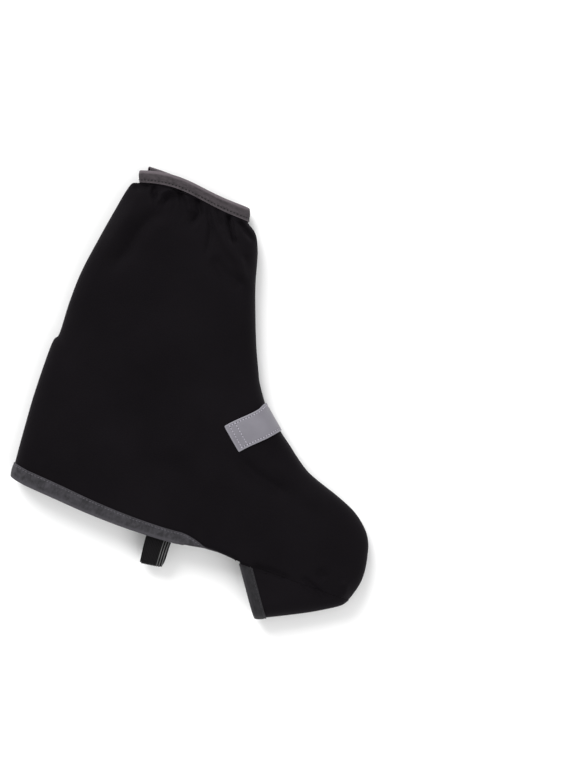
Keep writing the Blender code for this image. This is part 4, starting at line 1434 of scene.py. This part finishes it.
def loop_face(offsets, depth):
    """Points of the elastic loop: every station of its route at each share of its width."""
    route = smooth_rows(LOOP_ROUTE, [LOOP_STRIPS] * (len(LOOP_ROUTE) - 1))
    ahead = np.vstack([route[1:], route[-1:]]) - np.vstack([route[:1], route[:-1]])
    run = unit(ahead[:, :2])
    out = np.stack([np.zeros(len(run)), run[:, 1], -run[:, 0]], axis=1)
    middle = np.stack([route[:, 2], route[:, 0], route[:, 1]], axis=1)
    across = np.stack([route[:, 3], route[:, 4], np.zeros(len(route))], axis=1)
    points = (middle[:, None] + across[:, None] * np.asarray(offsets)[:, None]
              + out[:, None] * np.broadcast_to(depth, len(offsets))[:, None])
    corner = np.clip((np.abs(offsets) - LOOP_FLAT) / (0.5 - LOOP_FLAT), 0, 1)
    points[..., 1] += (smooth_step(*LOOP_CORNER_FROM, -route[:, 0])[:, None]
                       * LOOP_CORNER * (1 - np.sqrt(1 - corner ** 2)))
    return points


def sole_loop():
    """Flat ribbed elastic hung inside the hem, down from one wall and back to the other."""
    offsets = np.linspace(-0.5, 0.5, LOOP_COLUMNS)
    edge = np.clip((np.abs(offsets) - LOOP_EDGE_FROM) / LOOP_EDGE, 0, 1)
    depth = (LOOP_THICK / 2 - LOOP_SUNK) * np.sqrt(np.maximum(1 - edge ** 2, 0.1))
    outer, inner = loop_face(offsets, depth), loop_face(offsets, -depth)
    along = np.arange(len(outer)) * LOOP_PITCH
    # The edge mask gives the loop a painted highlight along its thin edges.
    return wall("elastic_loop", ELASTIC, outer, inner, cloth_grid(along, offsets * LOOP_WIDTH),
                np.clip((np.abs(offsets) - LOOP_HIGHLIGHT_FROM) / LOOP_HIGHLIGHT, 0, 1))


def loop_ribs(offsets):
    """Rib lines down both faces of the loop."""
    depth = LOOP_THICK / 2 - RIB_SUNK
    faces = [loop_face(offsets, depth), loop_face(offsets, -depth)]
    return [face[:, k] for face in faces for k in range(len(offsets))]


# ---- assembly --------------------------------------------------------------------------------
def keep(piece, slot, *nodes):
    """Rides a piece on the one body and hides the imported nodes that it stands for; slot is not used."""
    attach(piece, "root")
    if nodes:
        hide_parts(*nodes)
    return piece


def sewn(name, paths, thread, slot, pitch, length, width):
    """Stitches along paths, their measures in millimetres."""
    piece = along_paths(name, STITCHES, paths, Pitch=pitch * MM, Stitch_length=length * MM,
                        Thread_width=width * MM, Thread=thread)
    return keep(piece, slot)


medial = keep(medial_panel(), "softshell", "medial_panel")
lateral = keep(lateral_panel(), "softshell", "lateral_panel")
toe_sole = keep(toe_sole_panel(), "softshell", "toe_sole_panel")
closure = keep(back_closure_tape(), "hook_loop", "back_closure_tape")

top, hem, toe = top_band(), hem_band(), toe_band()
top_piece = keep(binding("leg_binding", TOP_TAPE, top), "binding", "top_binding")
hem_piece = keep(binding("hem_edge_binding", HEM_TAPE, hem), "binding", "hem_binding")
toe_piece = keep(binding("toe_edge_binding", TOE_TAPE, toe), "binding", "toe_hem_binding")
# Near-black beads along the leg binding's seam: painted shade of its needle holes and stitch loops.
top_stitches = sewn("leg_binding_stitches", stitch_lines(top), DARK_STITCH_SHADE, "binding",
                    pitch=3.0, length=1.6, width=1.25)
hem_stitches = sewn("hem_binding_stitches", stitch_lines(hem), HEM_THREAD, "binding",
                    pitch=2.8, length=1.9, width=0.62)
toe_stitches = sewn("toe_binding_stitches", stitch_lines(toe), TOE_THREAD, "binding",
                    pitch=2.6, length=2.0, width=0.5)

strap = strap_ribbon()
patch = patch_ribbon(PATCH_RUN, PATCH_WIDTH, STRAP_CLEAR)
tab = patch_ribbon(TAB_RUN, TAB_WIDTH, STRAP_CLEAR + STRAP_TAPE + TAB_GAP)
keep(ribbon_piece("reflective_strap", REFLECTIVE, strap), "reflective", "instep_strap")
keep(ribbon_piece("loop_patch", LOOP_PILE, patch), "hook_loop", "strap_loop_patch")
keep(ribbon_piece("hook_tab", HOOK_PILE, tab), "hook_loop", "strap_hook_tab")
strap_seams = ribbon_stitches(strap, first_row=3.8, rows_across=(4.0, 9.0))
sewn("strap_stitches", strap_seams, STRAP_THREAD, "reflective",
     pitch=STRAP_PITCH, length=1.7, width=0.75)
# Painted shadow: near-black beads set halfway between the strap's stitches, in the gaps where shade falls.
sewn("strap_stitch_gap_shadow", started_later(strap_seams, STRAP_PITCH / 2), DARK_STITCH_SHADE, "reflective",
     pitch=STRAP_PITCH, length=0.75, width=0.6)
patch_seams = ribbon_stitches(patch, first_row=PATCH_STITCH_IN, rows_across=(PATCH_STITCH_IN,))
sewn("patch_stitches", patch_seams, BLACK_YARN, "hook_loop", pitch=2.4, length=1.8, width=0.5)

keep(sole_loop(), "elastic", "sole_loop")
for name, offsets, finish in (("pale_loop_ribs", PALE_RIBS, PALE_YARN),
                              ("dark_loop_ribs", DARK_RIBS, BLACK_YARN)):
    keep(along_paths(name, RIBS, loop_ribs(offsets), Rib_width=RIB_WIDTH * MM, Yarn=finish), "elastic")


# ---- floor, light and camera -----------------------------------------------------------------
def floor():
    """A plain white floor, wide enough to fill the view at any angle."""
    data = bpy.data.meshes.new("floor")
    corners = [(x * FLOOR_REACH, y * FLOOR_REACH, 0) for x, y in ((-1, -1), (1, -1), (1, 1), (-1, 1))]
    data.from_pydata(corners, [], [(0, 1, 2, 3)])
    made, tree, shader = new_material("floor_white", 0.9, 0.0)
    place = add_node(tree, "ShaderNodeTexCoord").outputs["Object"]
    shade = mixed(tree, noise(tree, place, 3.0), *(grey(value) for value in FLOOR_SHADES))
    tree.links.new(shade, shader.inputs["Base Color"])
    data.materials.append(made)
    thing = add_object("floor", data)


def light_the_scene():
    for light in SOFT_LIGHTS:
        data = bpy.data.lights.new(light.name, "SUN")
        data.energy = light.strength
        data.angle = math.radians(light.softness)
        lamp = add_object(light.name, data)
        lamp.location = (light.from_x, light.from_y, light.from_z)
        lamp.rotation_euler = (-lamp.location).to_track_quat("-Z", "Y").to_euler()
    world = bpy.data.worlds.new("studio")
    world.use_nodes = True
    tree = world.node_tree
    dim = tree.nodes["Background"]
    dim.inputs["Color"].default_value = grey(1.0)
    dim.inputs["Strength"].default_value = SKY
    backdrop = add_node(tree, "ShaderNodeBackground", {"Color": grey(1.0), "Strength": 1.0})
    seen = add_node(tree, "ShaderNodeLightPath").outputs["Is Camera Ray"]
    shown = add_node(tree, "ShaderNodeMixShader", {0: seen, 1: dim.outputs[0], 2: backdrop.outputs[0]})
    tree.links.new(shown.outputs[0], tree.nodes["World Output"].inputs["Surface"])
    bpy.context.scene.world = world


def camera():
    data = bpy.data.cameras.new("camera")
    data.lens = CAMERA_LENS
    data.sensor_width = SENSOR_WIDTH
    data.clip_end = 50.0
    thing = add_object("camera", data)
    thing.location = CAMERA_PLACE
    thing.rotation_euler = (0.0, 0.0, CAMERA_TURN)
    bpy.context.scene.camera = thing


floor()
light_the_scene()
camera()
bpy.context.scene.view_settings.view_transform = "Standard"
